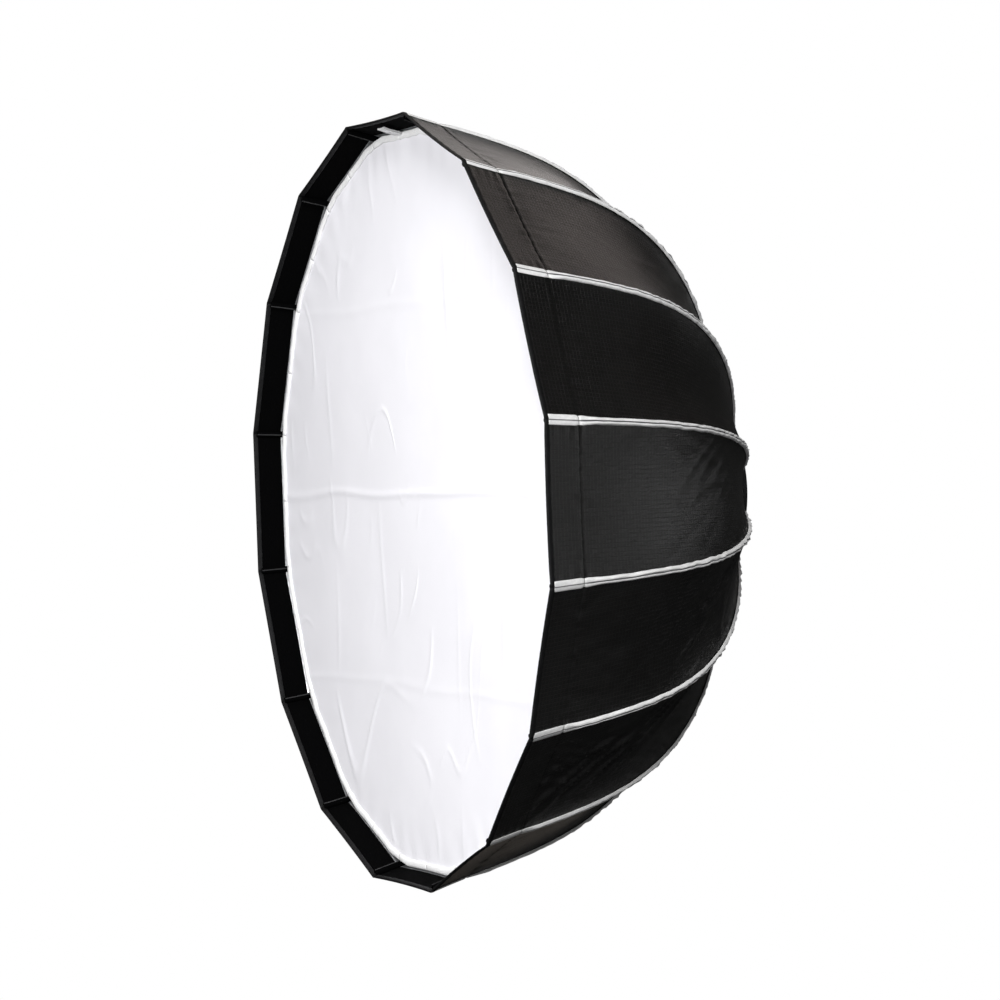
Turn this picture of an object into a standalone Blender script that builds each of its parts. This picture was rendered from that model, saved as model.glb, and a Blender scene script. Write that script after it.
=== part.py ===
"""A deep parabolic softbox with sixteen sides, standing open. Metres, +Z up.

The light leaves towards -Y. The origin is the centre of the lamp mount's rear
face, so the lamp is on the +Y side. Rods and canopy stand round the Y axis.
"""

import math

import bmesh
import bpy
from mathutils import Matrix, Vector

# ---------------------------------------------------------------- overall
SIDES = 16
RIM_RADIUS = 0.450  # front rim, centre to corner
DEPTH = 0.410  # front rim to the canopy's line at the hinges
ROOT_RADIUS = 0.0855  # the canopy's line where it passes the hinges
ROOT_LEAN = math.radians(18.5)  # rods lean this far forward of straight out
ROOT_PULL = 0.7475 * RIM_RADIUS  # how long a rod holds its first direction
RIM_FLARE = math.radians(17.0)  # rods end this far from parallel to the axis
RIM_PULL = 0.394 * RIM_RADIUS  # how long a rod holds its last direction

# ---------------------------------------------------------------- fits
GAP = 0.0003  # between pieces that touch
SLOT_PLAY = 0.0005  # at each side of a hinged socket
CLOTH = 0.0012  # thickness of each sheet of fabric with its lining

# ---------------------------------------------------------------- rods
ROD_RADIUS = 0.0025
ROD_START = 0.0100  # from the hinge to the rod's inner end
TIP_SETBACK = 0.0050  # the rod's tip, behind the front rim

# ---------------------------------------------------------------- sockets
SOCKET_REACH = 0.038  # from the hinge to the mouth of the socket
SOCKET_RADIUS = 0.0045
KNUCKLE_RADIUS = 0.0060
KNUCKLE_WIDTH = 0.0082
WIRE_RADIUS = 0.0015
WIRE_CLEARANCE = 0.0005

# ---------------------------------------------------------------- canopy
HEM_CLEAR = 0.004  # from the sockets' mouths to the canopy's rear hem
CANOPY_STEPS = 10
COLLAR_LAP = 0.012  # how far the elastic collar lies over the rear hem

# ---------------------------------------------------------------- fronts
LIP_DEPTH = 0.034  # from the rim back to the diffuser
BORDER_WIDTH = 0.010  # hook-and-loop round the diffuser
TAB_WIDTH = 0.018
TAB_LENGTH = 0.024
TAB_DROP = 0.0060  # the tab's thickness of clearance from the canopy
BAFFLE_DEPTH = 0.190  # from the rim back to the inner baffle
BAFFLE_RADIUS = 0.285
STRAP_WIDTH = 0.012

# ---------------------------------------------------------------- lamp mount
BORE_RADIUS = 0.046
TUBE_WALL = 0.003
TUBE_LENGTH = 0.010
LUGS = 3
LUG_RISE = 0.0045
LUG_THICK = 0.004
LUG_SPAN = math.radians(40)
LUG_RELIEF = 0.0015  # beyond the lugs, where the face is cut back
RELIEF_DEPTH = 0.0008
FLANGE_RADIUS = 0.078
FLANGE_THICK = 0.004
HUB_RADIUS = 0.062
RETAINER_RADIUS = 0.070
RETAINER_THICK = 0.0027

# ---------------------------------------------------------------- turning ring
RING_THICK = 0.0254
RING_OUTER = 0.094
RING_CHAMFER = 0.0015
HINGE_BEHIND = 0.0117  # the hinges' plane, behind the ring's front
SLOT_FLOOR = 0.0008  # under a knuckle
SLOT_INNER = 0.0017  # inside a knuckle
COVER_THICK = 0.002
COVER_OUTER = 0.092
ROUND_STEPS = 48

# ---------------------------------------------------------------- clamp screw
SCREW_RADIUS = 0.003
SCREW_BEHIND = 0.0042  # its axis, from the ring's rear
KNOB_RADIUS = 0.0075
KNOB_LENGTH = 0.014
KNOB_LOBES = 7
KNOB_SCALLOP = 0.0007

# ---------------------------------------------------------------- derived
SECTOR = 2 * math.pi / SIDES
HALF = SECTOR / 2
ROD_INSET = CLOTH + GAP + ROD_RADIUS
HUB_REAR = FLANGE_THICK
RING_REAR = HUB_REAR + GAP
RING_FRONT = RING_REAR + RING_THICK
HUB_FRONT = RING_FRONT + GAP
HINGE_FORWARD = RING_FRONT - HINGE_BEHIND
HINGE_RADIUS = ROOT_RADIUS - ROD_INSET * math.sin(ROOT_LEAN)
ROOT_FORWARD = HINGE_FORWARD - ROD_INSET * math.cos(ROOT_LEAN)
RIM_FORWARD = ROOT_FORWARD + DEPTH
SCREW_FORWARD = RING_REAR + SCREW_BEHIND
SLOT_RADIUS = HINGE_RADIUS - KNUCKLE_RADIUS - SLOT_INNER
SLOT_FORWARD = HINGE_FORWARD - KNUCKLE_RADIUS - SLOT_FLOOR
SLOT_WIDTH = KNUCKLE_WIDTH + 2 * SLOT_PLAY


# ================================================================ the rib line
def rib_point(t, inset=0.0):
    """(radius, forward) on the canopy's rib, moved in by `inset`; t runs from hinge to rim."""
    ends = (
        Vector((ROOT_RADIUS, ROOT_FORWARD)),
        Vector((RIM_RADIUS, RIM_FORWARD)),
    )
    pulls = (
        ends[0] + ROOT_PULL * Vector((math.cos(ROOT_LEAN), math.sin(ROOT_LEAN))),
        ends[1] - RIM_PULL * Vector((math.sin(RIM_FLARE), math.cos(RIM_FLARE))),
    )
    s = 1 - t
    point = (
        s**3 * ends[0]
        + 3 * s * s * t * pulls[0]
        + 3 * s * t * t * pulls[1]
        + t**3 * ends[1]
    )
    slope = (
        s * s * (pulls[0] - ends[0])
        + 2 * s * t * (pulls[1] - pulls[0])
        + t * t * (ends[1] - pulls[1])
    ).normalized()
    return point + inset * Vector((-slope.y, slope.x))


def shares(first, last, steps):
    return [first + (last - first) * k / steps for k in range(steps + 1)]


# Rods and canopy bend at the same shares, so that they keep the same distance.
HEM_SHARE = (SOCKET_REACH + HEM_CLEAR) / (3 * ROOT_PULL)
BENDS = shares(HEM_SHARE, 1.0, CANOPY_STEPS)


def reach_at(forward, inset):
    """(radius, slope) of the bent line at this inset, where it has come this far forward."""
    line = [rib_point(t, inset) for t in BENDS]
    for near, far in zip(line, line[1:]):
        if near.y <= forward <= far.y:
            slope = (far.x - near.x) / (far.y - near.y)
            return near.x + slope * (forward - near.y), slope
    raise ValueError("no rod or canopy this far forward")


# ================================================================ building
for old in list(bpy.data.objects):
    bpy.data.objects.remove(old)

box = bpy.data.collections.new("octabox")
bpy.context.scene.collection.children.link(box)


def material(name, colour, roughness, metallic=0.0):
    made = bpy.data.materials.new(name)
    made.use_nodes = True
    shader = made.node_tree.nodes["Principled BSDF"]
    shader.inputs["Base Color"].default_value = (*colour, 1.0)
    shader.inputs["Roughness"].default_value = roughness
    shader.inputs["Metallic"].default_value = metallic
    made.diffuse_color = (*colour, 1.0)
    return made


def placed(name, data):
    made = bpy.data.objects.new(name, data)
    box.objects.link(made)
    return made


def settled(source, smooth=35.0):
    """The source's evaluated shape as plain mesh data; the source is removed."""
    bpy.context.view_layer.update()
    graph = bpy.context.evaluated_depsgraph_get()
    data = bpy.data.meshes.new_from_object(source.evaluated_get(graph))
    data.name = source.name
    data.materials.clear()
    shape = bmesh.new()
    shape.from_mesh(data)
    bmesh.ops.remove_doubles(shape, verts=shape.verts, dist=1e-6)
    bmesh.ops.recalc_face_normals(shape, faces=shape.faces)
    shape.to_mesh(data)
    shape.free()
    data.polygons.foreach_set("use_smooth", [True] * len(data.polygons))
    data.set_sharp_from_angle(angle=math.radians(smooth))
    bpy.data.objects.remove(source)
    return data


def finish(name, data, stuff, place=(0, 0, 0), turn=0.0):
    """One sub-part: `turn` is its azimuth, from +Z towards +X."""
    made = placed(name, data)
    if not data.materials:
        data.materials.append(stuff)
    made.location = place
    made.rotation_euler = (0, turn, 0)
    return made


def around(radius, forward, azimuth):
    """A place at this radius and azimuth from +Z towards +X."""
    return (radius * math.sin(azimuth), -forward, radius * math.cos(azimuth))


def revolved(name, section, steps=ROUND_STEPS, angle=2 * math.pi, start=0.0):
    """A closed section of (radius, forward) points, turned round the Y axis."""
    data = bpy.data.meshes.new(name)
    corners = [(r * math.sin(start), -f, r * math.cos(start)) for r, f in section]
    loop = [(i, (i + 1) % len(section)) for i in range(len(section))]
    data.from_pydata(corners, loop, [])
    made = placed(name, data)
    turn = made.modifiers.new("Screw", "SCREW")
    turn.axis = "Y"
    turn.angle = angle
    turn.steps = steps
    turn.render_steps = steps
    turn.use_merge_vertices = angle >= 2 * math.pi
    turn.merge_threshold = 0.00001
    turn.use_normal_calculate = True
    return made


def capped(made):
    """The swept shape with its open ends filled and its faces turned out."""
    name = made.name
    data = settled(made)
    shape = bmesh.new()
    shape.from_mesh(data)
    bmesh.ops.holes_fill(shape, edges=shape.edges, sides=0)
    bmesh.ops.recalc_face_normals(shape, faces=shape.faces)
    shape.to_mesh(data)
    shape.free()
    return placed(name, data)


def bar(name, radius, start, end, sides):
    """A round bar from one point to another."""
    start, end = Vector(start), Vector(end)
    data = bpy.data.meshes.new(name)
    shape = bmesh.new()
    bmesh.ops.create_cone(
        shape,
        cap_ends=True,
        segments=sides,
        radius1=radius,
        radius2=radius,
        depth=(end - start).length,
    )
    shape.to_mesh(data)
    shape.free()
    made = placed(name, data)
    made.rotation_mode = "QUATERNION"
    made.rotation_quaternion = (end - start).to_track_quat("Z", "Y")
    made.location = (start + end) / 2
    return made


def upright(made):
    """The same shape with its placement written into its points."""
    bpy.context.view_layer.update()
    place = made.matrix_world.copy()
    data = settled(made)
    data.transform(place)
    return placed(data.name, data)


def block(name, low, high):
    low, high = Vector(low), Vector(high)
    data = bpy.data.meshes.new(name)
    shape = bmesh.new()
    bmesh.ops.create_cube(shape, size=1.0)
    bmesh.ops.scale(shape, vec=high - low, verts=shape.verts)
    bmesh.ops.translate(shape, vec=(low + high) / 2, verts=shape.verts)
    shape.to_mesh(data)
    shape.free()
    return placed(name, data)


def joined(target, other, how):
    """The target with `other` cut from it, or joined to it."""
    target, other = upright(target), upright(other)
    step = target.modifiers.new(how.title(), "BOOLEAN")
    step.operation = how
    step.solver = "EXACT"
    step.object = other
    data = settled(target)
    bpy.data.objects.remove(other)
    return placed(data.name, data)


def plate(name, outlines, thickness):
    """A flat piece in the XZ plane, centred on y = 0; outlines after the first are holes."""
    data = bpy.data.curves.new(name, "CURVE")
    data.dimensions = "2D"
    data.fill_mode = "BOTH"
    data.extrude = thickness / 2
    for outline in outlines:
        line = data.splines.new("POLY")
        line.points.add(len(outline) - 1)
        for point, (x, z) in zip(line.points, outline):
            point.co = (x, z, 0, 1)
        line.use_cyclic_u = True
    made = placed(name, data)
    made.rotation_euler = (math.pi / 2, 0, 0)
    return made


def stood(made):
    """Flat mesh data for a plate, with its rotation applied."""
    turned = made.rotation_euler.to_matrix().to_4x4()
    data = settled(made)
    data.transform(turned)
    return data


def ring_outline(radius, count, start=0.0):
    step = 2 * math.pi / count
    return [
        (radius * math.sin(start + k * step), radius * math.cos(start + k * step))
        for k in range(count)
    ]


# ================================================================ materials
black_metal = material("anodised_black", (0.020, 0.020, 0.022), 0.42, 0.85)
bare_metal = material("bare_aluminium", (0.62, 0.63, 0.65), 0.38, 1.0)
cover_metal = material("satin_cover", (0.035, 0.035, 0.038), 0.35, 0.8)
wire_steel = material("wire_steel", (0.55, 0.55, 0.56), 0.28, 1.0)
screw_steel = material("screw_steel", (0.50, 0.50, 0.52), 0.32, 1.0)
knob_plastic = material("knob_plastic", (0.018, 0.018, 0.018), 0.55)
retainer_metal = material("retainer_metal", (0.10, 0.10, 0.11), 0.40, 0.9)
collar_cloth = material("collar_elastic", (0.016, 0.016, 0.017), 0.92)
diffuser_cloth = material("diffuser_white", (0.88, 0.88, 0.90), 0.80)
border_cloth = material("hook_and_loop_white", (0.92, 0.92, 0.92), 0.95)
tab_cloth = material("webbing_white", (0.86, 0.86, 0.85), 0.85)
baffle_cloth = material("baffle_white", (0.84, 0.84, 0.85), 0.82)

# ================================================================ lamp mount
tube = BORE_RADIUS + TUBE_WALL
relief = tube + LUG_RISE + LUG_RELIEF
insert = revolved(
    "mount_insert",
    [
        (BORE_RADIUS, -TUBE_LENGTH),
        (tube, -TUBE_LENGTH),
        (tube, RELIEF_DEPTH),
        (relief, RELIEF_DEPTH),
        (relief, 0),
        (FLANGE_RADIUS, 0),
        (FLANGE_RADIUS, FLANGE_THICK),
        (HUB_RADIUS, FLANGE_THICK),
        (HUB_RADIUS, HUB_FRONT),
        (BORE_RADIUS, HUB_FRONT),
    ],
)
for k in range(LUGS):
    lug = revolved(
        "lug",
        [
            (tube - TUBE_WALL / 2, -TUBE_LENGTH),
            (tube + LUG_RISE, -TUBE_LENGTH),
            (tube + LUG_RISE, LUG_THICK - TUBE_LENGTH),
            (tube - TUBE_WALL / 2, LUG_THICK - TUBE_LENGTH),
        ],
        steps=6,
        angle=LUG_SPAN,
        start=2 * math.pi * k / LUGS - LUG_SPAN / 2,
    )
    insert = joined(insert, capped(lug), "UNION")
finish("mount_insert", settled(insert), bare_metal)

retainer = revolved(
    "mount_retainer",
    [
        (BORE_RADIUS, HUB_FRONT + GAP),
        (RETAINER_RADIUS, HUB_FRONT + GAP),
        (RETAINER_RADIUS, HUB_FRONT + GAP + RETAINER_THICK),
        (BORE_RADIUS, HUB_FRONT + GAP + RETAINER_THICK),
    ],
)
finish("mount_retainer", settled(retainer), retainer_metal)


# ================================================================ turning ring
def slots(front):
    """Sixteen slots for the sockets, as one cutter."""
    shape = bmesh.new()
    for k in range(SIDES):
        corner = block(
            "slot",
            (-SLOT_WIDTH / 2, -front, SLOT_RADIUS),
            (SLOT_WIDTH / 2, -SLOT_FORWARD, RING_OUTER + 0.01),
        )
        corner.rotation_euler = (0, HALF + k * SECTOR, 0)
        bpy.context.view_layer.update()
        corner.data.transform(corner.matrix_world)
        shape.from_mesh(corner.data)
        bpy.data.objects.remove(corner)
    data = bpy.data.meshes.new("slots")
    shape.to_mesh(data)
    shape.free()
    return placed("slots", data)


beyond = RING_FRONT + COVER_THICK + 0.01
ring = revolved(
    "ring_body",
    [
        (HUB_RADIUS + GAP, RING_REAR),
        (RING_OUTER - RING_CHAMFER, RING_REAR),
        (RING_OUTER, RING_REAR + RING_CHAMFER),
        (RING_OUTER, RING_FRONT - RING_CHAMFER),
        (RING_OUTER - RING_CHAMFER, RING_FRONT),
        (HUB_RADIUS + GAP, RING_FRONT),
    ],
)
ring = joined(ring, slots(beyond), "DIFFERENCE")
wire_room = WIRE_RADIUS + WIRE_CLEARANCE
groove = revolved(
    "groove",
    [
        (HINGE_RADIUS - wire_room, HINGE_FORWARD - wire_room),
        (HINGE_RADIUS + wire_room, HINGE_FORWARD - wire_room),
        (HINGE_RADIUS + wire_room, beyond),
        (HINGE_RADIUS - wire_room, beyond),
    ],
)
ring = joined(ring, groove, "DIFFERENCE")
screw_bore = bar(
    "screw_bore",
    (SCREW_RADIUS + GAP) / math.cos(math.pi / 12),
    around(HUB_RADIUS - 0.01, SCREW_FORWARD, math.pi),
    around(RING_OUTER + 0.01, SCREW_FORWARD, math.pi),
    12,
)
ring = joined(ring, screw_bore, "DIFFERENCE")
finish("ring_body", settled(ring), black_metal)

cover = revolved(
    "ring_cover",
    [
        (RETAINER_RADIUS + 2 * GAP, RING_FRONT + GAP),
        (COVER_OUTER, RING_FRONT + GAP),
        (COVER_OUTER, RING_FRONT + GAP + COVER_THICK),
        (RETAINER_RADIUS + 2 * GAP, RING_FRONT + GAP + COVER_THICK),
    ],
)
cover = joined(cover, slots(beyond), "DIFFERENCE")
finish("ring_cover", settled(cover), cover_metal)

wire = revolved(
    "hinge_wire",
    [
        (HINGE_RADIUS + WIRE_RADIUS * math.sin(a), HINGE_FORWARD + WIRE_RADIUS * math.cos(a))
        for a in [k * math.pi / 3 for k in range(6)]
    ],
    start=HALF / 3,
)
finish("hinge_wire", settled(wire), wire_steel)

# ================================================================ clamp screw
screw_tip = HUB_RADIUS + GAP
knob_start = RING_OUTER + 0.003
screw = bar(
    "clamp_screw",
    SCREW_RADIUS,
    (0, 0, 0),
    (0, 0, knob_start + KNOB_LENGTH - 0.001 - screw_tip),
    12,
)
finish(
    "clamp_screw",
    settled(upright(screw)),
    screw_steel,
    around(screw_tip, SCREW_FORWARD, math.pi),
    math.pi,
)
knob_outline = []
for k in range(4 * KNOB_LOBES):
    angle = 2 * math.pi * k / (4 * KNOB_LOBES)
    reach = KNOB_RADIUS - KNOB_SCALLOP * (1 - math.cos(KNOB_LOBES * angle))
    knob_outline.append((reach * math.sin(angle), reach * math.cos(angle)))
knob = plate(
    "clamp_knob",
    [knob_outline, ring_outline((SCREW_RADIUS + GAP) / math.cos(math.pi / 12), 12)],
    KNOB_LENGTH,
)
knob.rotation_euler = (0, 0, 0)
finish(
    "clamp_knob",
    settled(knob),
    knob_plastic,
    around(knob_start + KNOB_LENGTH / 2, SCREW_FORWARD, math.pi),
    math.pi,
)

# ================================================================ sockets
rod_hinge = Vector((HINGE_RADIUS, HINGE_FORWARD))
rod_bends = [rib_point(t, ROD_INSET) - rod_hinge for t in BENDS]
lean = Vector((0, -rod_bends[0].y, rod_bends[0].x)).normalized()
across = Vector((1, 0, 0))
socket = upright(
    bar(
        "rod_socket",
        KNUCKLE_RADIUS,
        across * -KNUCKLE_WIDTH / 2,
        across * KNUCKLE_WIDTH / 2,
        12,
    )
)
barrel = bar("barrel", SOCKET_RADIUS, lean * 0.001, lean * SOCKET_REACH, 8)
socket = joined(socket, barrel, "UNION")
rod_bore = bar(
    "rod_bore",
    (ROD_RADIUS + GAP) / math.cos(math.pi / 8),
    lean * (ROD_START - GAP),
    lean * (SOCKET_REACH + 0.01),
    8,
)
socket = joined(socket, rod_bore, "DIFFERENCE")
wire_bore = bar("wire_bore", wire_room, across * -KNUCKLE_WIDTH, across * KNUCKLE_WIDTH, 8)
socket = joined(socket, wire_bore, "DIFFERENCE")
socket_data = settled(socket)

# ================================================================ rods
rod_points = [lean * ROD_START] + [Vector((0, -b.y, b.x)) for b in rod_bends]
last_run = rod_points[-1] - rod_points[-2]
rod_points[-1] = rod_points[-1] - last_run.normalized() * TIP_SETBACK
rod_line = bpy.data.curves.new("rod", "CURVE")
rod_line.dimensions = "3D"
rod_line.bevel_depth = ROD_RADIUS
rod_line.bevel_resolution = 1
rod_line.use_fill_caps = True
rod_spline = rod_line.splines.new("POLY")
rod_spline.points.add(len(rod_points) - 1)
for point, place in zip(rod_spline.points, rod_points):
    point.co = (*place, 1)
rod_data = settled(placed("rod", rod_line), 70.0)

for k in range(SIDES):
    azimuth = HALF + k * SECTOR
    hinge = around(HINGE_RADIUS, HINGE_FORWARD, azimuth)
    grey = 0.10 + 0.002 * k
    rod_stuff = material(f"rod_lacquer_{k + 1:02d}", (grey, grey, grey * 1.04), 0.38, 0.2)
    nylon = material(f"socket_nylon_{k + 1:02d}", (0.02, 0.02, 0.021), 0.50 + 0.002 * k)
    finish(f"rod_{k + 1:02d}", rod_data.copy(), rod_stuff, hinge, azimuth)
    finish(f"rod_socket_{k + 1:02d}", socket_data.copy(), nylon, hinge, azimuth)


# ================================================================ canopy
def gore(name, bends, outer, inner):
    """One strip between two ribs at azimuth 0, flat across, its sides mitred to the ribs."""
    outside, inside = [], []
    for t in bends:
        radius, forward = rib_point(t, outer)
        outside.append((-forward, radius * math.cos(HALF)))
        radius, forward = rib_point(t, inner)
        inside.append((-forward, radius * math.cos(HALF)))
    wide = 2 * outside[-1][1] * math.tan(HALF) + 0.02
    strip = plate(name, [outside + inside[::-1]], wide)
    # The plate's outline was drawn as (y, z); stand it so that it is as wide as X.
    strip.rotation_euler = (math.pi / 2, 0, math.pi / 2)
    data = stood(strip)
    shape = bmesh.new()
    shape.from_mesh(data)
    for side in (-1, 1):
        cut = bmesh.ops.bisect_plane(
            shape,
            geom=shape.verts[:] + shape.edges[:] + shape.faces[:],
            dist=1e-7,
            plane_co=(side * -GAP / 2 / math.cos(HALF), 0, 0),
            plane_no=(side * math.cos(HALF), 0, -math.sin(HALF)),
            clear_outer=True,
        )
        edges = [e for e in cut["geom_cut"] if isinstance(e, bmesh.types.BMEdge)]
        bmesh.ops.edgeloop_fill(shape, edges=edges)
    bmesh.ops.triangulate(shape, faces=[f for f in shape.faces if len(f.verts) > 4])
    bmesh.ops.recalc_face_normals(shape, faces=shape.faces)
    shape.to_mesh(data)
    shape.free()
    return data


panel_data = gore("canopy_panel", BENDS, 0.0, CLOTH)
meeting = HINGE_RADIUS / math.cos(HALF)  # where neighbouring hinge lines cross
panel_data.transform(Matrix.Translation((0, HINGE_FORWARD, -meeting)))
for k in range(SIDES):
    azimuth = (k + 1) * SECTOR
    grey = 0.012 + 0.0003 * k
    cloth = material(f"canopy_cloth_{k + 1:02d}", (grey, grey, grey), 0.78)
    finish(
        f"canopy_panel_{k + 1:02d}",
        panel_data.copy(),
        cloth,
        around(meeting, HINGE_FORWARD, azimuth),
        azimuth,
    )

# The collar is an elastic sleeve over the sockets and the canopy's rear hem.
collar_inset = ROD_INSET - SOCKET_RADIUS - GAP
collar_first = ((RING_OUTER + 2 * GAP) / math.cos(HALF) - ROOT_RADIUS) / (3 * ROOT_PULL)
collar_first = collar_first / math.cos(ROOT_LEAN)
collar_last = HEM_SHARE + COLLAR_LAP / (3 * ROOT_PULL)
collar_bends = [collar_first, HEM_SHARE, collar_last]
collar_section = [rib_point(t, collar_inset) for t in collar_bends]
collar_section += [rib_point(t, collar_inset - CLOTH) for t in collar_bends[::-1]]
collar = revolved("rear_collar", collar_section, steps=SIDES, start=HALF)
finish("rear_collar", settled(collar, 10.0), collar_cloth)


# ================================================================ fronts
def trimmed_outline(flat, corner):
    """Sixteen sides at distance `flat` from the axis, the corners cut back to `corner`."""
    half_cut = (flat / math.cos(HALF) - corner) / math.tan(HALF)
    points = []
    for k in range(SIDES):
        azimuth = HALF + k * SECTOR
        out = (math.sin(azimuth), math.cos(azimuth))
        side = (math.cos(azimuth), -math.sin(azimuth))
        for way in (-1, 1):
            points.append(
                (
                    corner * out[0] + way * half_cut * side[0],
                    corner * out[1] + way * half_cut * side[1],
                )
            )
    return points


def room_between(rear, front):
    """(flat, corner) reach of a flat piece inside the panels and the rods there."""
    flats, corners = [], []
    for forward in (rear, front):
        cloth, _ = reach_at(forward, CLOTH)
        rod, slope = reach_at(forward, ROD_INSET)
        flats.append(cloth * math.cos(HALF) - GAP)
        corners.append(rod - ROD_RADIUS * math.sqrt(1 + slope * slope) - GAP)
    return min(flats), min(corners)


diffuser_forward = RIM_FORWARD - LIP_DEPTH
border_forward = diffuser_forward + CLOTH + GAP
flat, corner = room_between(diffuser_forward - CLOTH / 2, border_forward + CLOTH / 2)
diffuser = plate("front_diffuser", [trimmed_outline(flat, corner)], CLOTH)
finish("front_diffuser", stood(diffuser), diffuser_cloth, (0, -diffuser_forward, 0))

inner_edge = trimmed_outline(flat - BORDER_WIDTH, corner - BORDER_WIDTH)
border = plate("diffuser_border", [trimmed_outline(flat, corner), inner_edge], CLOTH)
finish("diffuser_border", stood(border), border_cloth, (0, -border_forward, 0))

tab_from = border_forward + CLOTH / 2 + GAP
tab_to = tab_from + TAB_LENGTH
tab_low = flat - TAB_DROP
tab = block(
    "pull_tab",
    (-TAB_WIDTH / 2, -tab_to, tab_low - CLOTH),
    (TAB_WIDTH / 2, -tab_from, tab_low),
)
finish("pull_tab", settled(tab), tab_cloth)

baffle_forward = RIM_FORWARD - BAFFLE_DEPTH
_, reach = room_between(baffle_forward - CLOTH / 2, baffle_forward + CLOTH / 2)
body = BAFFLE_RADIUS
outline = []
for k in range(SIDES):
    azimuth = HALF + k * SECTOR
    out = Vector((math.sin(azimuth), math.cos(azimuth)))
    side = Vector((math.cos(azimuth), -math.sin(azimuth)))
    foot = body - STRAP_WIDTH / 2 * math.tan(HALF)
    for way, distance in ((-1, foot), (-1, reach), (1, reach), (1, foot)):
        outline.append(tuple(out * distance + side * way * STRAP_WIDTH / 2))
baffle = plate("inner_baffle", [outline], CLOTH)
finish("inner_baffle", stood(baffle), baffle_cloth, (0, -baffle_forward, 0))
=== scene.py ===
"""Looks for a deep parabolic softbox with sixteen sides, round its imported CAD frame."""

import math

import bmesh
import bpy
import numpy as np
from mathutils import Matrix, Vector, noise


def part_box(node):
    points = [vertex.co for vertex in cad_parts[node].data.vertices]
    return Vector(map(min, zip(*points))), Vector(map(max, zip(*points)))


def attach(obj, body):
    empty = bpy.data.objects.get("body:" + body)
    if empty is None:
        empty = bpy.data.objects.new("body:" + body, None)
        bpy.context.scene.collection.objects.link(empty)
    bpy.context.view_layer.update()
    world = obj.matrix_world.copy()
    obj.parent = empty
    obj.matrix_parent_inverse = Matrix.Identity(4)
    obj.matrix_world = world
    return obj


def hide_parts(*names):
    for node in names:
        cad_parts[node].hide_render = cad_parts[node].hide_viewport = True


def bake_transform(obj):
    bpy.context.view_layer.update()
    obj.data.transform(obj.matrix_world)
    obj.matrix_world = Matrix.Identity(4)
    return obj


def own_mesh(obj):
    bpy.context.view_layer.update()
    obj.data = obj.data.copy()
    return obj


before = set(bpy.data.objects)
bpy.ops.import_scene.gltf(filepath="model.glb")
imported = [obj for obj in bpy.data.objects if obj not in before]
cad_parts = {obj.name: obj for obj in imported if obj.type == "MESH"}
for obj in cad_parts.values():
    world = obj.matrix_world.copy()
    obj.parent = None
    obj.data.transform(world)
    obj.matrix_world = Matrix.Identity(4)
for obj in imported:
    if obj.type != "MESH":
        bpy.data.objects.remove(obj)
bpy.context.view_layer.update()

# ---- sizes, as the frame has them
SIDES = 16
RIM_RADIUS = 0.450
DEPTH = 0.410
ROOT_RADIUS = 0.0855
ROOT_LEAN = math.radians(18.5)
ROOT_PULL = 0.7475 * RIM_RADIUS
RIM_FLARE = math.radians(17.0)
RIM_PULL = 0.394 * RIM_RADIUS
CLOTH = 0.0012
GAP = 0.0003
ROD_RADIUS = 0.0025
ROD_INSET = CLOTH + GAP + ROD_RADIUS
SOCKET_REACH = 0.038
HEM_CLEAR = 0.004
LIP_DEPTH = 0.034
BAFFLE_DEPTH = 0.190
BAFFLE_RADIUS = 0.285
BORE_RADIUS = 0.046
RING_REAR = 0.0043
RING_FRONT = RING_REAR + 0.0254
RING_OUTER = 0.094
HINGE_FORWARD = RING_FRONT - 0.0117
HINGE_RADIUS = ROOT_RADIUS - ROD_INSET * math.sin(ROOT_LEAN)
ROOT_FORWARD = HINGE_FORWARD - ROD_INSET * math.cos(ROOT_LEAN)
RIM_FORWARD = ROOT_FORWARD + DEPTH
SECTOR = 2 * math.pi / SIDES
HALF = SECTOR / 2
HEM_SHARE = (SOCKET_REACH + HEM_CLEAR) / (3 * ROOT_PULL)
SEAM = 0.046  # the sewn seam's distance behind the rim
TAPE_GROOVE = 0.08  # the stitched groove's place across a rib tape, from -1 to 1


# ---- the rib line
def rib(t, inset=0.0):
    """(radius, forward, outward normal's radius and forward parts) on a rib; t may be an array."""
    t = np.asarray(t, float)
    root, rim = np.array([ROOT_RADIUS, ROOT_FORWARD]), np.array([RIM_RADIUS, RIM_FORWARD])
    from_root = root + ROOT_PULL * np.array([math.cos(ROOT_LEAN), math.sin(ROOT_LEAN)])
    from_rim = rim - RIM_PULL * np.array([math.sin(RIM_FLARE), math.cos(RIM_FLARE)])
    s = 1 - t
    point, slope = [], []
    for a, b, c, d in zip(root, from_root, from_rim, rim):
        point.append(s**3 * a + 3 * s * s * t * b + 3 * s * t * t * c + t**3 * d)
        slope.append(s * s * (b - a) + 2 * s * t * (c - b) + t * t * (d - c))
    size = np.hypot(*slope)
    nr, nf = slope[1] / size, -slope[0] / size
    return point[0] - inset * nr, point[1] - inset * nf, nr, nf


_t = np.linspace(0, 1, 4001)
_r, _f, _, _ = rib(_t)
_arc = np.concatenate([[0], np.cumsum(np.hypot(np.diff(_r), np.diff(_f)))])
RIB_LENGTH = float(_arc[-1] - np.interp(HEM_SHARE, _t, _arc))


def share_behind(distance):
    """t at this distance behind the rim, along the rib."""
    return np.interp(_arc[-1] - np.asarray(distance, float), _arc, _t)


def rib_azimuth(number):
    return HALF + (number - 1) * SECTOR


def around(x, radial, forward, azimuth):
    """World points from a place beside, out from and along the axis, at an azimuth."""
    c, s = math.cos(azimuth), math.sin(azimuth)
    return np.stack([x * c + radial * s, -forward, -x * s + radial * c], -1)


def smooth(low, high, value):
    t = np.clip((value - low) / (high - low), 0, 1)
    return t * t * (3 - 2 * t)


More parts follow.
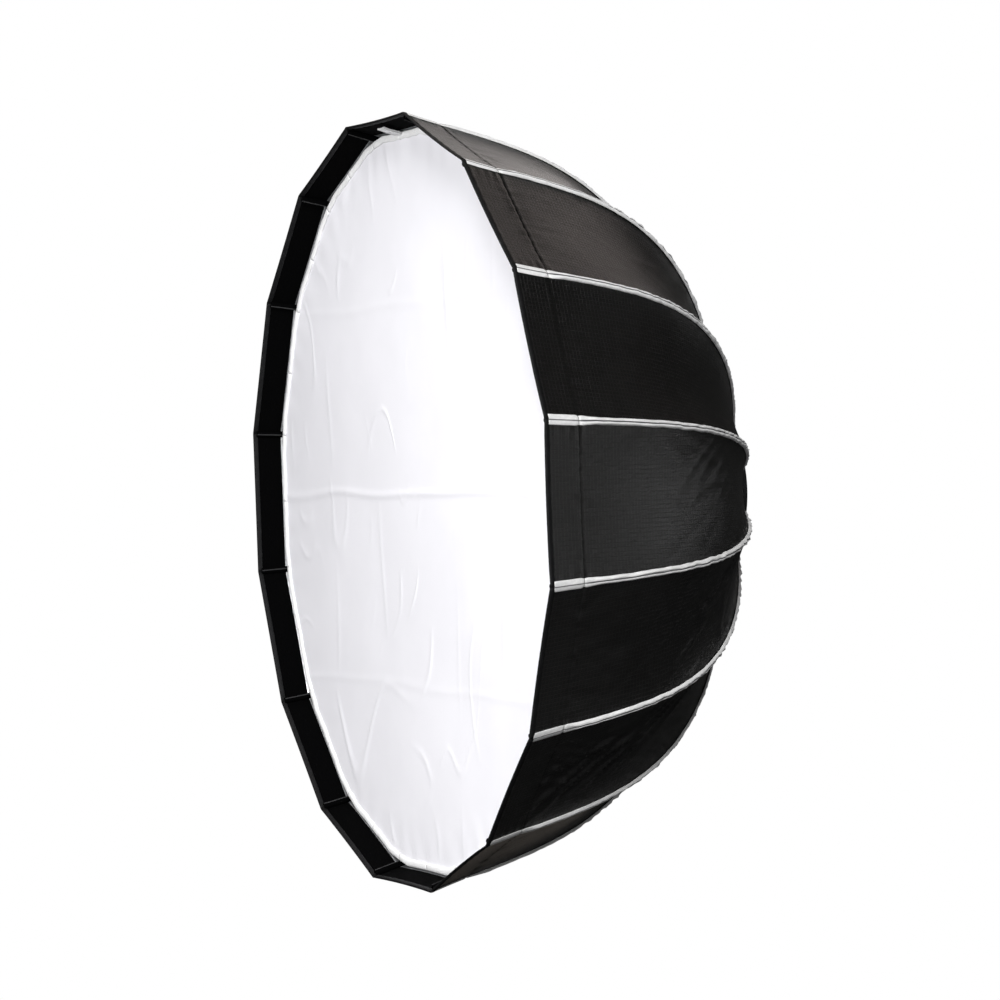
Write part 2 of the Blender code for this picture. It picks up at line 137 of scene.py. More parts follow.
def rippled(points, scale, seed):
    """Smooth noise from -1 to 1 at each point."""
    flat = np.asarray(points, float).reshape(-1, 3) * scale + seed * 17.31
    return np.array([noise.noise(Vector(p)) for p in flat]).reshape(points.shape[:-1])


# ---- mesh making
def mesh_object(name, points, faces, uvs=None, indices=None, materials=()):
    data = bpy.data.meshes.new(name)
    data.from_pydata([tuple(map(float, p)) for p in points], [], faces)
    for m in materials:
        data.materials.append(m)
    if indices is not None:
        data.polygons.foreach_set("material_index", indices)
    if uvs is not None:
        layer = data.uv_layers.new(name="weave")
        loops = np.zeros(len(data.loops), np.int32)
        data.loops.foreach_get("vertex_index", loops)
        layer.data.foreach_set("uv", np.asarray(uvs, np.float32)[loops].ravel())
    data.polygons.foreach_set("use_smooth", [True] * len(data.polygons))
    made = bpy.data.objects.new(name, data)
    bpy.context.scene.collection.objects.link(made)
    return made


def grid(name, points, uvs, materials, indices=None, loop=False, flip=False, caps=False):
    """A sheet from rows and columns of points; loop joins the last column to the first."""
    rows, cols = points.shape[:2]
    faces, kinds = [], []
    for i in range(rows - 1):
        for j in range(cols if loop else cols - 1):
            k = (j + 1) % cols
            face = (i * cols + j, i * cols + k, (i + 1) * cols + k, (i + 1) * cols + j)
            faces.append(face[::-1] if flip else face)
            kinds.append(0 if indices is None else int(indices[i]))
    if caps:
        for row, back in ((0, not flip), (rows - 1, flip)):
            face = tuple(row * cols + j for j in range(cols))
            faces.append(face[::-1] if back else face)
            kinds.append(0)
    return mesh_object(name, points.reshape(-1, 3), faces, uvs.reshape(-1, 2), kinds, materials)


def strip(name, rows, uvs, stuff, lengthwise=True, flip=False):
    """A closed bar; lengthwise means that each row given runs along it, not round it."""
    points, coords = np.array(rows), np.array(uvs)
    if lengthwise:
        points, coords = points.transpose(1, 0, 2), coords.transpose(1, 0, 2)
    return grid(name, points, coords, (stuff,), loop=True, flip=flip, caps=True)


def dressed(obj, slot, body, *replaced):
    """obj rides a body and stands for CAD nodes, which it hides; slot is not used."""
    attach(obj, body)
    if replaced:
        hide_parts(*replaced)
    return obj


def thickened(obj, thickness, inner=0, offset=-1):
    step = obj.modifiers.new("Cloth", "SOLIDIFY")
    step.thickness = thickness
    step.offset = offset
    step.use_rim = True
    step.material_offset = inner
    return obj


# ---- material making
def scaled(colour, share):
    return tuple(min(1.0, c * share) for c in colour)


class Nodes:
    """Short names for building one material's nodes."""

    def __init__(self, name, colour, roughness, metallic=0.0, **sockets):
        self.material = bpy.data.materials.new(name)
        self.material.use_nodes = True
        self.tree = self.material.node_tree
        self.shader = self.tree.nodes["Principled BSDF"]
        self.shader.inputs["Base Color"].default_value = (*colour, 1)
        self.shader.inputs["Roughness"].default_value = roughness
        self.shader.inputs["Metallic"].default_value = metallic
        for key, value in sockets.items():
            self.shader.inputs[key.replace("_", " ")].default_value = value
        self.base = colour
        self.bumps = None

    def add(self, kind, **values):
        node = self.tree.nodes.new("ShaderNode" + kind)
        for key, value in values.items():
            setattr(node, key, value)
        return node

    def link(self, source, target):
        self.tree.links.new(source, target)

    def math(self, operation, a, b=0.0, c=0.0):
        node = self.add("Math", operation=operation)
        for socket, value in zip(node.inputs, (a, b, c)):
            if isinstance(value, (int, float)):
                socket.default_value = value
            else:
                self.link(value, socket)
        return node.outputs[0]

    def uv(self):
        node = self.add("UVMap", uv_map="weave")
        split = self.add("SeparateXYZ")
        self.link(node.outputs[0], split.inputs[0])
        return split.outputs[0], split.outputs[1], node.outputs[0]

    def place(self):
        return self.add("TexCoord").outputs["Object"]

    def turning_marks(self, radius, along):
        """A vector that changes only out from and along the axis, for the marks of a lathe."""
        node = self.add("CombineXYZ")
        self.link(self.math("MULTIPLY", radius, 2600.0), node.inputs[0])
        self.link(self.math("MULTIPLY", along, 2600.0), node.inputs[1])
        return node.outputs[0]

    def noise(self, scale, detail=3.0, roughness=0.55, where=None, stretch=None):
        where = self.place() if where is None else where
        if stretch:
            mapping = self.add("Mapping")
            mapping.inputs["Scale"].default_value = stretch
            self.link(where, mapping.inputs[0])
            where = mapping.outputs[0]
        node = self.add("TexNoise")
        node.inputs["Scale"].default_value = scale
        node.inputs["Detail"].default_value = detail
        node.inputs["Roughness"].default_value = roughness
        self.link(where, node.inputs["Vector"])
        return node.outputs["Fac"]

    def ramp(self, value, low, high, to_low=0.0, to_high=1.0):
        node = self.add("MapRange", interpolation_type="SMOOTHSTEP")
        self.link(value, node.inputs[0])
        for socket, number in zip(node.inputs[1:5], (low, high, to_low, to_high)):
            socket.default_value = number
        return node.outputs[0]

    def lines(self, value, pitch, width):
        """1 on thin lines every pitch, 0 between them."""
        cell = self.math("FRACT", self.math("DIVIDE", value, pitch))
        away = self.math("ABSOLUTE", self.math("SUBTRACT", cell, 0.5))
        return self.ramp(away, width / pitch / 2, width / pitch, 1.0, 0.0)

    def at(self, value, centre, width):
        """1 on one line of this width, 0 away from it."""
        away = self.math("ABSOLUTE", self.math("SUBTRACT", value, centre))
        return self.ramp(away, width / 2, width, 1.0, 0.0)

    def mix(self, share, a, b):
        node = self.add("Mix", data_type="RGBA")
        for socket, value in ((node.inputs[0], share), (node.inputs[6], a), (node.inputs[7], b)):
            if isinstance(value, tuple):
                socket.default_value = (*value, 1)
            elif isinstance(value, (int, float)):
                socket.default_value = value
            else:
                self.link(value, socket)
        return node.outputs[2]

    def tint(self, value, low, high, dark, light):
        """The base colour, darker where the value is at low and lighter where it is at high."""
        share = self.ramp(value, low, high)
        return self.mix(share, scaled(self.base, dark), scaled(self.base, light))

    def paint(self, colour):
        self.link(colour, self.shader.inputs["Base Color"])

    def rough(self, value, low, high):
        self.link(self.ramp(value, 0.2, 0.8, low, high), self.shader.inputs["Roughness"])

    def bump(self, height, distance, strength=1.0):
        node = self.add("Bump")
        node.inputs["Strength"].default_value = strength
        node.inputs["Distance"].default_value = distance
        self.link(height, node.inputs["Height"])
        if self.bumps is not None:
            self.link(self.bumps, node.inputs["Normal"])
        self.bumps = node.outputs[0]
        self.link(self.bumps, self.shader.inputs["Normal"])


RIPSTOP, RIPSTOP_LINE = 0.0048, 0.00055  # pitch and width of the reinforcing threads
THREAD = 0.0006
STITCH = 0.0034  # one stitch and the gap after it
HEM_STITCH = 0.0088  # distance of the hem's stitches behind the rim


def outer_cloth():
    base = (0.0029, 0.0028, 0.0026)
    n = Nodes(
        "canopy_ripstop", base, 0.31, Sheen_Weight=0.005, Sheen_Roughness=0.4, Specular_IOR_Level=0.45
    )
    u, v, uv = n.uv()
    weft, warp = (n.lines(w, RIPSTOP, RIPSTOP_LINE) for w in (v, u))
    net = n.math("MAXIMUM", weft, warp)
    waves = [n.math("SINE", n.math("MULTIPLY", w, 2 * math.pi / THREAD)) for w in (u, v)]
    fine = n.math("MULTIPLY", *waves)
    broad = n.noise(9.0, 4.0)
    dust = n.noise(260.0, 2.0)
    tone = n.tint(broad, 0.35, 0.7, 0.82, 1.2)
    tone = n.mix(n.math("MULTIPLY", net, 0.35), tone, scaled(base, 2.1))
    tone = n.mix(n.ramp(dust, 0.72, 0.9, 0.0, 0.18), tone, (0.02, 0.02, 0.02))
    dashes = n.ramp(n.lines(u, STITCH, 0.0026), 0.1, 0.5, 0.55, 1.0)
    stitch = n.math("MULTIPLY", n.at(v, SEAM, 0.0007), dashes)
    dashes = n.ramp(n.lines(u, STITCH, 0.0024), 0.2, 0.6)
    hem = n.math("MULTIPLY", n.at(v, HEM_STITCH, 0.0005), dashes)
    sewn = n.math("MAXIMUM", stitch, n.math("MULTIPLY", hem, 0.7))
    tone = n.mix(sewn, tone, (0.0004, 0.0004, 0.0004))
    n.paint(tone)
    n.rough(n.math("MAXIMUM", broad, sewn), 0.285, 0.345)
    n.bump(net, 0.00022, 0.7)
    n.bump(fine, 0.00005, 0.4)
    n.bump(n.noise(60.0, 3.0, where=uv, stretch=(1.0, 0.35, 1.0)), 0.0009, 0.35)
    return n.material


def lining():
    n = Nodes("silver_lining", (0.66, 0.67, 0.69), 0.34, 0.85)
    u, v, _ = n.uv()
    net = n.math("MAXIMUM", n.lines(u, 0.0042, 0.0005), n.lines(v, 0.0042, 0.0005))
    crush = n.noise(120.0, 5.0, 0.65)
    n.paint(n.tint(crush, 0.3, 0.7, 0.8, 1.1))
    n.rough(crush, 0.26, 0.44)
    n.bump(net, 0.0002, 0.6)
    n.bump(crush, 0.0012, 0.5)
    return n.material


def lip_cloth():
    n = Nodes("lip_loop_black", (0.0007, 0.0007, 0.0008), 0.95, Specular_IOR_Level=0.03)
    pile = n.noise(900.0, 4.0, 0.7)
    v = n.uv()[1]
    n.paint(n.tint(pile, 0.3, 0.75, 0.7, 1.7))
    n.bump(pile, 0.0005, 0.5)
    n.bump(n.lines(v, 0.0030, 0.0006), 0.0002, 0.3)
    return n.material


def tape_cloth():
    n = Nodes("rib_tape_silver", (0.93, 0.93, 0.925), 0.45, 0.0, Sheen_Weight=0.25)
    u, v, uv = n.uv()
    grain = n.lines(v, 0.00085, 0.0003)
    mottle = n.noise(70.0, 5.0, 0.65, where=uv, stretch=(1.6, 0.8, 1.0))
    scuff = n.noise(300.0, 4.0, 0.7)
    # grey mottled patches painted over the tape, more of them towards its back
    back = n.ramp(v, 0.10, 0.46)
    tone = n.tint(mottle, 0.36, 0.66, 0.86, 1.05)
    greyed_towards_back = n.math("MULTIPLY", back, n.ramp(mottle, 0.42, 0.60))
    tone = n.mix(n.math("MULTIPLY", greyed_towards_back, 0.60), tone, (0.33, 0.33, 0.34))
    tone = n.mix(n.ramp(scuff, 0.62, 0.8, 0.0, 0.3), tone, (0.42, 0.42, 0.42))
    row = n.at(u, TAPE_GROOVE * 0.005, 0.00050)
    dash = n.ramp(n.lines(v, 0.0031, 0.0022), 0.2, 0.6)
    tone = n.mix(n.math("MULTIPLY", row, dash), tone, (0.03, 0.03, 0.035))
    # painted shade: the groove between the tape's two rolls is painted dark grey, darker behind the seam
    # where the tape is rolled deeper, for the shade that falls in it
    groove = n.at(u, TAPE_GROOVE * 0.005, 0.0012)
    groove = n.math("MULTIPLY", groove, n.ramp(v, SEAM - 0.004, SEAM + 0.01, 0.25, 0.95))
    tone = n.mix(groove, tone, (0.055, 0.055, 0.06))
    across = n.at(v, SEAM, 0.0005)
    tone = n.mix(n.math("MULTIPLY", across, 0.8), tone, (0.04, 0.04, 0.04))
    n.paint(tone)
    n.rough(mottle, 0.36, 0.60)
    n.bump(grain, 0.00012, 0.5)
    n.bump(mottle, 0.0011, 0.5)
    return n.material


def binding_cloth():
    n = Nodes("rim_binding_black", (0.0045, 0.0045, 0.0048), 0.6, Specular_IOR_Level=0.15)
    u = n.uv()[0]
    n.paint(n.tint(n.noise(160.0), 0.4, 0.7, 1.0, 1.7))
    n.bump(n.lines(u, 0.0009, 0.0004), 0.00015, 0.6)
    n.bump(n.noise(240.0, 3.0), 0.0005, 0.4)
    return n.material


def diffuser_cloth(name):
    n = Nodes(name, (0.90, 0.893, 0.935), 0.82, Sheen_Weight=0.08, Specular_IOR_Level=0.25)
    u, v, _ = n.uv()
    weave = n.math("MAXIMUM", n.lines(u, 0.0011, 0.0005), n.lines(v, 0.0011, 0.0005))
    cloud = n.noise(6.0, 4.0)
    tone = n.tint(cloud, 0.35, 0.7, 0.975, 1.02)
    n.paint(n.mix(n.math("MULTIPLY", weave, 0.05), tone, (0.72, 0.72, 0.78)))
    n.bump(weave, 0.0001, 0.35)
    n.bump(n.noise(420.0, 3.0), 0.0002, 0.25)
    return n.material


def fuzzy_white(name, base, scale):
    n = Nodes(name, base, 0.92, Sheen_Weight=0.2, Specular_IOR_Level=0.2)
    pile = n.noise(scale, 4.0, 0.7)
    n.paint(n.tint(pile, 0.3, 0.7, 0.82, 1.1))
    n.bump(pile, 0.0006, 0.7)
    return n.material


def webbing(name, base, pitch):
    n = Nodes(name, base, 0.8, Sheen_Weight=0.1)
    u, v, _ = n.uv()
    ribs = n.math("SINE", n.math("MULTIPLY", v, 2 * math.pi / pitch))
    cross = n.math("SINE", n.math("MULTIPLY", u, 2 * math.pi / (pitch * 0.7)))
    weave = n.math("MULTIPLY", ribs, cross)
    n.paint(n.tint(weave, -1, 1, 0.8, 1.1))
    n.bump(weave, 0.00025, 0.7)
    return n.material


def metal(name, base, roughness, metallic=1.0, turned=True, grain=0.00004):
    n = Nodes(name, base, roughness, metallic)
    where = n.place()
    split = n.add("SeparateXYZ")
    n.link(where, split.inputs[0])
    squares = [n.math("MULTIPLY", split.outputs[k], split.outputs[k]) for k in (0, 2)]
    radius = n.math("SQRT", n.math("ADD", *squares))
    marks = n.noise(1.0, 2.0, 0.8, where=n.turning_marks(radius, split.outputs[1]) if turned else where)
    wear = n.noise(55.0, 5.0, 0.65)
    n.paint(n.tint(wear, 0.45, 0.75, 1.0, 1.35))
    n.rough(wear, roughness * 0.85, roughness * 1.2)
    n.bump(marks, grain * 3, 0.35)
    n.bump(n.noise(900.0, 2.0), grain, 0.3)
    return n.material


def plastic(name, base, roughness, pebble):
    n = Nodes(name, base, roughness)
    grain = n.noise(pebble, 3.0, 0.6)
    wear = n.noise(70.0, 4.0)
    n.paint(n.tint(wear, 0.5, 0.8, 1.0, 1.6))
    n.rough(wear, roughness * 0.85, roughness * 1.15)
    n.bump(grain, 0.00012, 0.6)
    return n.material


def rod_paint():
    base = (0.055, 0.056, 0.060)
    n = Nodes("rod_lacquer", base, 0.34, 0.35, Coat_Weight=0.3, Coat_Roughness=0.2)
    wear = n.noise(90.0, 5.0, 0.7)
    n.paint(n.mix(n.ramp(wear, 0.62, 0.74), base, (0.30, 0.30, 0.31)))
    n.rough(wear, 0.28, 0.45)
    n.bump(n.noise(500.0), 0.00005, 0.4)
    return n.material


OUTER = outer_cloth()
LINING = lining()
LIP = lip_cloth()
TAPE = tape_cloth()
BINDING = binding_cloth()
SEAM_TAPE = webbing("lip_seam_grey", (0.010, 0.010, 0.011), 0.0011)
DIFFUSER = diffuser_cloth("diffuser_white")
HOOKS = fuzzy_white("hook_and_loop_white", (0.93, 0.93, 0.94), 1100.0)
BAFFLE = diffuser_cloth("baffle_white")
TAB = webbing("tab_webbing_white", (0.86, 0.86, 0.86), 0.0016)
ELASTIC = webbing("collar_elastic", (0.014, 0.014, 0.015), 0.0022)
STRAP = webbing("strap_elastic_white", (0.70, 0.70, 0.70), 0.0012)
ALUMINIUM = metal("turned_aluminium", (0.60, 0.61, 0.63), 0.34)
ANODISED = metal("anodised_black", (0.018, 0.018, 0.020), 0.38, 0.6)
COVER = metal("cover_satin_black", (0.028, 0.028, 0.030), 0.33, 0.7)
RETAINER = metal("retainer_grey", (0.10, 0.10, 0.11), 0.36, 0.9)
STEEL = metal("polished_steel", (0.58, 0.58, 0.59), 0.22, turned=False)
KNOB = plastic("knob_black", (0.016, 0.016, 0.017), 0.52, 900.0)
NYLON = plastic("socket_nylon", (0.020, 0.020, 0.021), 0.46, 1300.0)
ROD = rod_paint()

# ---- canopy cloth
# How strongly each panel is creased, by its number clockwise from the top one's right.
CREASED = {4: 1.1, 5: 2.2, 6: 3.0, 7: 2.4, 8: 1.6}
ACROSS = 41
SHEET = 0.0006  # thickness that the panels are drawn with
RIM_HOLLOW = 0.0016  # how far the rim sags in between its ribs


def panel_rows():
    near = np.linspace(0, LIP_DEPTH, 14)
    seam = np.linspace(LIP_DEPTH, 0.056, 30)[1:]
    return np.concatenate([near, seam, np.linspace(0.056, RIB_LENGTH, 88)[1:]])


def cloth_offset(number, u, behind, half):
    """How far the cloth stands out from a flat strip between two ribs, in metres."""
    hollow = 0.0082 * smooth(SEAM, 0.28, behind) * np.minimum(half / 0.072, 1.0)
    hollow = hollow + RIM_HOLLOW * smooth(RIB_LENGTH, 0.30, behind)
    offset = -hollow * (1 - u * u)
    offset = offset - 0.0004 * np.exp(-(((behind - SEAM) / 0.0010) ** 2))
    offset = offset + 0.00012 * np.exp(-(((behind - SEAM - 0.0040) / 0.0030) ** 2))
    beside = (1 - np.abs(u)) * half
    where = np.stack([u * half, behind, np.full_like(u * behind, number * 0.7)], -1)
    # stitched ribs pull the cloth into short ripples
    pucker = np.sin(behind * 2 * math.pi / 0.0125 + 5 * rippled(where, 22.0, number))
    offset = offset + 0.00050 * pucker * np.exp(-beside / 0.011) * smooth(0.0, 0.004, beside)
    # so does the seam across
    ripple = np.sin(u * half * 2 * math.pi / 0.014 + 4 * rippled(where, 30.0, number + 3))
    offset = offset + 0.00045 * ripple * np.exp(-np.abs(behind - SEAM) / 0.009) * (1 - u**6)
    # slack drawn into slanting creases
    slack = CREASED.get(number, 0.5)
    fade = (1 - u**4) * smooth(0.030, 0.07, behind)
    fade = fade * smooth(RIB_LENGTH, RIB_LENGTH - 0.08, behind)
    for way, seed in ((1, 11), (-1, 23)):
        beside, back = u * half + way * behind * 0.55, behind - way * u * half * 0.55
        slanted = np.stack([beside / 0.026, back / 0.150, np.full_like(beside, float(number))], -1)
        field = rippled(slanted, 1.0, number * 2 + seed)
        ridge = np.exp(-((field / 0.13) ** 2)) - 0.35
        patch = smooth(-0.15, 0.35, rippled(slanted * 0.45, 1.0, number + seed * 3))
        offset = offset + 0.0011 * slack * ridge * patch * fade * (1.0 if way > 0 else 0.45)
    along = np.stack([u * half / 0.012, behind / 0.10, np.full_like(u * behind, number * 3.0)], -1)
    drawn = rippled(along, 1.0, number + 60) * np.exp(-np.abs(behind - SEAM - 0.01) / 0.045)
    offset = offset + 0.0007 * drawn * smooth(0.036, 0.045, behind) * (1 - u**4)
    sag = 0.0007 * rippled(where, 9.0, number + 40) * (1 - u * u)
    return offset + sag * smooth(0.03, 0.06, behind)


def panel_points(number, u, behind, lift=0.0):
    """Points of panel `number` (1 to 16) at u from -1 to 1 across it and behind the rim."""
    azimuth = number * SECTOR
    radius, forward, nr, nf = rib(share_behind(behind))
    half = radius * math.sin(HALF)
    offset = cloth_offset(number, u, behind, half) + lift
    x = u * half
    return around(x, radius * math.cos(HALF) + nr * offset, forward + nf * offset, azimuth)


def bent(obj):
    """obj's placement is baked into its mesh."""
    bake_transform(obj)


def cloth_panel(number):
    behind = panel_rows()[:, None]
    u = np.linspace(-1, 1, ACROSS)[None, :]
    behind, u = np.broadcast_arrays(behind, u)
    points = panel_points(number, u, behind)
    radius, _, _, _ = rib(share_behind(behind))
    uvs = np.stack([u * radius * math.sin(HALF), behind], -1)
    kinds = np.where(panel_rows()[:-1] < LIP_DEPTH, 2, 0)
    made = grid(f"cloth_panel_{number:02d}", points, uvs, (OUTER, LINING, OUTER, LIP), kinds)
    thickened(made, SHEET, 1)
    return made


def area_of(points):
    a, b = points[1:, 1:] - points[:-1, :-1], points[1:, :-1] - points[:-1, 1:]
    return float(np.linalg.norm(np.cross(a, b), axis=-1).sum() / 2)


def rim_binding(number):
    """A black tape folded over the rim, from its lap inside to its lap outside."""
    section = [
        (0.0052, 0.0005), (0.0040, 0.0009), (0.0015, 0.0010), (-0.0004, 0.0007), (-0.0009, -0.0004),
        (-0.0004, -0.0015), (0.0015, -0.0019), (0.0046, -0.0018), (0.0054, -0.0013), (0.0030, -0.0009),
        (0.0008, -0.0004), (0.0030, 0.0001)
    ]
    u = np.linspace(-1, 1, 45)
    rows, uvs = [], []
    for share in u:
        wave = 0.00025 * math.sin(share * 31 + number)
        ring, coords = [], []
        for j, (back, lift) in enumerate(section):
            lift = lift + (wave if back > 0.002 else 0)
            point = panel_points(number, np.array(share), np.array(max(back, 0.0)), lift)
            if back < 0:
                point = point + np.array([0.0, back, 0.0])
            ring.append(point)
            coords.append((share * 0.088, j * 0.0015))
        rows.append(ring)
        uvs.append(coords)
    return strip(f"rim_binding_{number:02d}", rows, uvs, BINDING, lengthwise=False)


for number in range(1, SIDES + 1):
    panel = cloth_panel(number)
    binding = rim_binding(number)
    behind, u = np.broadcast_arrays(panel_rows()[:, None], np.array([[-1.0, 0.0, 1.0]]))
    cut = area_of(panel_points(number, u, behind))
    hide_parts(f"canopy_panel_{number:02d}")
    for piece in (panel, binding):
        bent(piece)


def tape_width(behind):
    """The tape lies flat over the front strip and is rolled narrower behind the seam."""
    wide = 0.0118 - 0.0036 * smooth(SEAM - 0.004, SEAM + 0.028, behind)
    wide = wide - 0.0018 * np.exp(-(((behind - SEAM) / 0.0030) ** 2))
    return wide - 0.0008 * smooth(0.2, 0.45, behind)


def wobble(places, seed, apart, columns):
    """Columns of smooth noise along places, each from its own part of the noise."""
    return np.array([[noise.noise(Vector((p, seed, k * apart))) for k in range(columns)] for p in places])


def rib_tape(number):
    azimuth = rib_azimuth(number)
    behind = np.concatenate(
        [np.linspace(0.0042, 0.07, 60), np.linspace(0.07, RIB_LENGTH + 0.004, 130)[1:]]
    )
    radius, forward, nr, nf = rib(share_behind(behind))
    wide = tape_width(behind)
    jitter = wobble(behind * 62, number * 3.7, 5.0, 4)
    rolled = smooth(SEAM - 0.002, SEAM + 0.026, behind)
    crinkle = wobble(behind * 150, number * 2.3, 7.0, 3) * smooth(0.08, 0.30, behind)[:, None]
    rows, uvs = [], []
    for layer in (1, -1):
        side = np.linspace(-1, 1, 21)
        for j in side if layer == 1 else side[::-1]:
            shift = (0.0006 * jitter[:, 1] + 0.0009 * crinkle[:, 0]) * rolled
            s = j * wide / 2 * (1 + 0.07 * jitter[:, 0]) + shift
            # two soft rolls with a stitched groove between them
            roll = abs(math.sin(math.pi * (j - TAPE_GROOVE))) ** 0.55
            edge = (1 - j**6) ** 0.5
            height = (0.0005 + 0.0021 * rolled) * edge * (0.40 + 0.60 * roll)
            height = height * (1 + 0.30 * jitter[:, 2] * np.sign(j + 0.3) + 0.15 * jitter[:, 3])
            height = height * (1 + 0.7 * crinkle[:, 1] + 0.5 * crinkle[:, 2] * np.sign(j))
            lift = 0.0005 + height - 0.0009 * np.exp(-(((behind - SEAM) / 0.0016) ** 2))
            if layer == -1:
                lift = np.full_like(lift, 0.00005)
                s = s * 0.96
            drop = np.abs(s) * math.sin(HALF)
            rows.append(
                around(s * math.cos(HALF), radius + nr * lift - drop, forward + nf * lift, azimuth)
            )
            uvs.append(np.stack([np.full_like(behind, j * 0.005), behind], -1))
    made = dressed(strip(f"rib_tape_{number:02d}", rows, uvs, TAPE), "canopy_cloth", f"rod_{number:02d}")


for number in range(1, SIDES + 1):
    rib_tape(number)


# ---- inside the lip
def strip_along(name, azimuth, behinds, width, lift, stuff, thickness=0.0008):
    """A strip on a rib's inner side."""
    behind = np.asarray(behinds, float)
    radius, forward, nr, nf = rib(share_behind(behind))
    rows, uvs = [], []
    for level in (0.0, -thickness):
        for j in np.linspace(-1, 1, 5) * (1 if level == 0.0 else -1):
            s = j * width / 2
            inward = lift + level - 0.0002 * j * j
            beside = np.full_like(radius, s * math.cos(HALF))
            out = radius + nr * inward - abs(s) * math.sin(HALF)
            rows.append(around(beside, out, forward + nf * inward, azimuth))
            uvs.append(np.stack([np.full_like(behind, s), behind], -1))
    return strip(name, rows, uvs, stuff)


def rib_at(forward, inset):
    """Radius of the line `inset` inside a rib, this far forward."""
    radius, along, _, _ = rib(_t, inset)
    return float(np.interp(forward, along, radius))


POCKET_LENGTH = 0.062
POCKET_WALL = 0.0005


def rod_pocket(number):
    """The black sleeve that holds a rod's end against the canopy's inner side."""
    azimuth = rib_azimuth(number)
    behind = np.linspace(0.0035, POCKET_LENGTH, 40)
    radius, forward, nr, nf = rib(share_behind(behind))
    angle = np.linspace(-math.pi / 2, math.pi / 2, 17)
    wide, deep = ROD_RADIUS + 0.0012, ROD_INSET + ROD_RADIUS + POCKET_WALL
    top = 0.0010
    rows, uvs = [], []
    for out in (0.0, POCKET_WALL):
        for a in angle if out == 0.0 else angle[::-1]:
            s = (wide - out) * math.sin(a)
            inset = top + (deep - out - top) * math.cos(a) ** 0.8
            inset = inset * (1 + 0.03 * np.sin(behind * 610 + number))
            reach = radius - nr * inset - abs(s) * math.sin(HALF) * 0.8
            rows.append(around(np.full_like(radius, s), reach, forward - nf * inset, azimuth))
            uvs.append(np.stack([np.full_like(behind, s), behind], -1))
    pocket = strip(f"rod_pocket_{number:02d}", rows, uvs, LIP, flip=True)
    seam = strip_along(
        f"lip_seam_{number:02d}", azimuth, np.linspace(0.0045, LIP_DEPTH + 0.004, 24), 0.0012,
        -(deep + 0.0001), SEAM_TAPE, 0.0004
    )
    for piece in (pocket, seam):
        dressed(piece, "canopy_cloth", f"rod_{number:02d}")


for number in range(1, SIDES + 1):
    rod_pocket(number)


# ---- fronts
DIFFUSER_FORWARD = RIM_FORWARD - LIP_DEPTH
DIFFUSER_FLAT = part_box("front_diffuser")[1].x - 0.0006  # clear of the cloth
DIFFUSER_CORNER = rib_at(DIFFUSER_FORWARD, ROD_INSET + ROD_RADIUS + POCKET_WALL) - 0.0004


def on_plane(x, z):
    return np.stack([x, np.zeros_like(x), z], -1)


def creases(x, z, scale, width, seed):
    """Thin ridges that wander, each where smooth noise crosses zero, in patches."""
    where = on_plane(x, z)
    field = rippled(where * np.array([1.0, 1.0, 0.55]), scale, seed)
    patch = smooth(-0.05, 0.45, rippled(where, scale * 0.8, seed + 9))
    return patch * np.exp(-((field / width) ** 2))


def diffuser_height(x, z):
    """How far the diffuser stands forward of its plane: slack, creases and fold lines."""
    where = on_plane(x, z)
    height = 0.0013 * rippled(where, 4.0, 3) + 0.0004 * rippled(where, 16.0, 8)
    calm = 1 - 0.65 * smooth(0.02, 0.22, x)
    height = height + 0.0011 * calm * creases(x, z, 7.0, 0.026, 51)
    height = height + 0.0007 * calm * creases(x, z, 17.0, 0.045, 57)
    warp = 0.014 * rippled(where, 6.0, 21)
    for k, (line, depth) in enumerate(
        ((-0.335, 0.0006), (-0.262, 0.0007), (-0.105, 0.0005), (0.112, 0.0005), (0.236, 0.0004))
    ):
        fade = smooth(-0.1, 0.5, rippled(where, 5.0, 70 + k))
        height = height + depth * fade * np.exp(-(((x - line + warp) / 0.004) ** 2))
    for line, depth in ((0.010, 0.0011), (-0.215, 0.0004), (0.230, 0.0004)):
        height = height + depth * np.exp(-(((z - line + warp * 0.5) / 0.0045) ** 2))
    radius, azimuth = np.hypot(x, z), np.arctan2(x, z)
    edge = smooth(0.370, 0.425, radius)
    height = height + 0.00035 * edge * np.sin(azimuth * 61 + 4 * rippled(where, 9.0, 5))
    return height * (0.35 + 0.65 * smooth(0.0, 0.03, 0.44 - radius))


def sector_points(azimuth, inner, outer, rings, columns, corner):
    """A wedge of a flat sixteen-sided sheet, its rows outwards; corners cut back to `corner`.

    One more column on each side lets the normals match the next wedge's.
    """
    apothem = np.linspace(inner, outer, rings)[:, None]
    beyond = 1 + 2 / (columns - 1)
    share = np.linspace(-beyond, beyond, columns + 2)[None, :]
    apothem, share = np.broadcast_arrays(apothem, share)
    reach = outer * (math.cos(HALF) + np.abs(share) * math.tan(HALF) * math.sin(HALF))
    cut = np.minimum(1.0, corner / reach) - RIM_HOLLOW / outer * (1 - np.minimum(share**2, 1))
    apothem = apothem * (1 + (cut - 1) * smooth(outer * 0.9, outer, apothem))
    x, z = share * apothem * math.tan(HALF), apothem
    c, s = math.cos(azimuth), math.sin(azimuth)
    return x * c + z * s, -x * s + z * c


def grid_normals(points):
    """Unit normals of a grid of points, facing forward."""
    down, across = np.gradient(points, axis=0), np.gradient(points, axis=1)
    normal = np.cross(across, down)
    return normal / np.linalg.norm(normal, axis=-1, keepdims=True)


def radial(azimuth):
    return (math.sin(azimuth), 0.0, math.cos(azimuth))


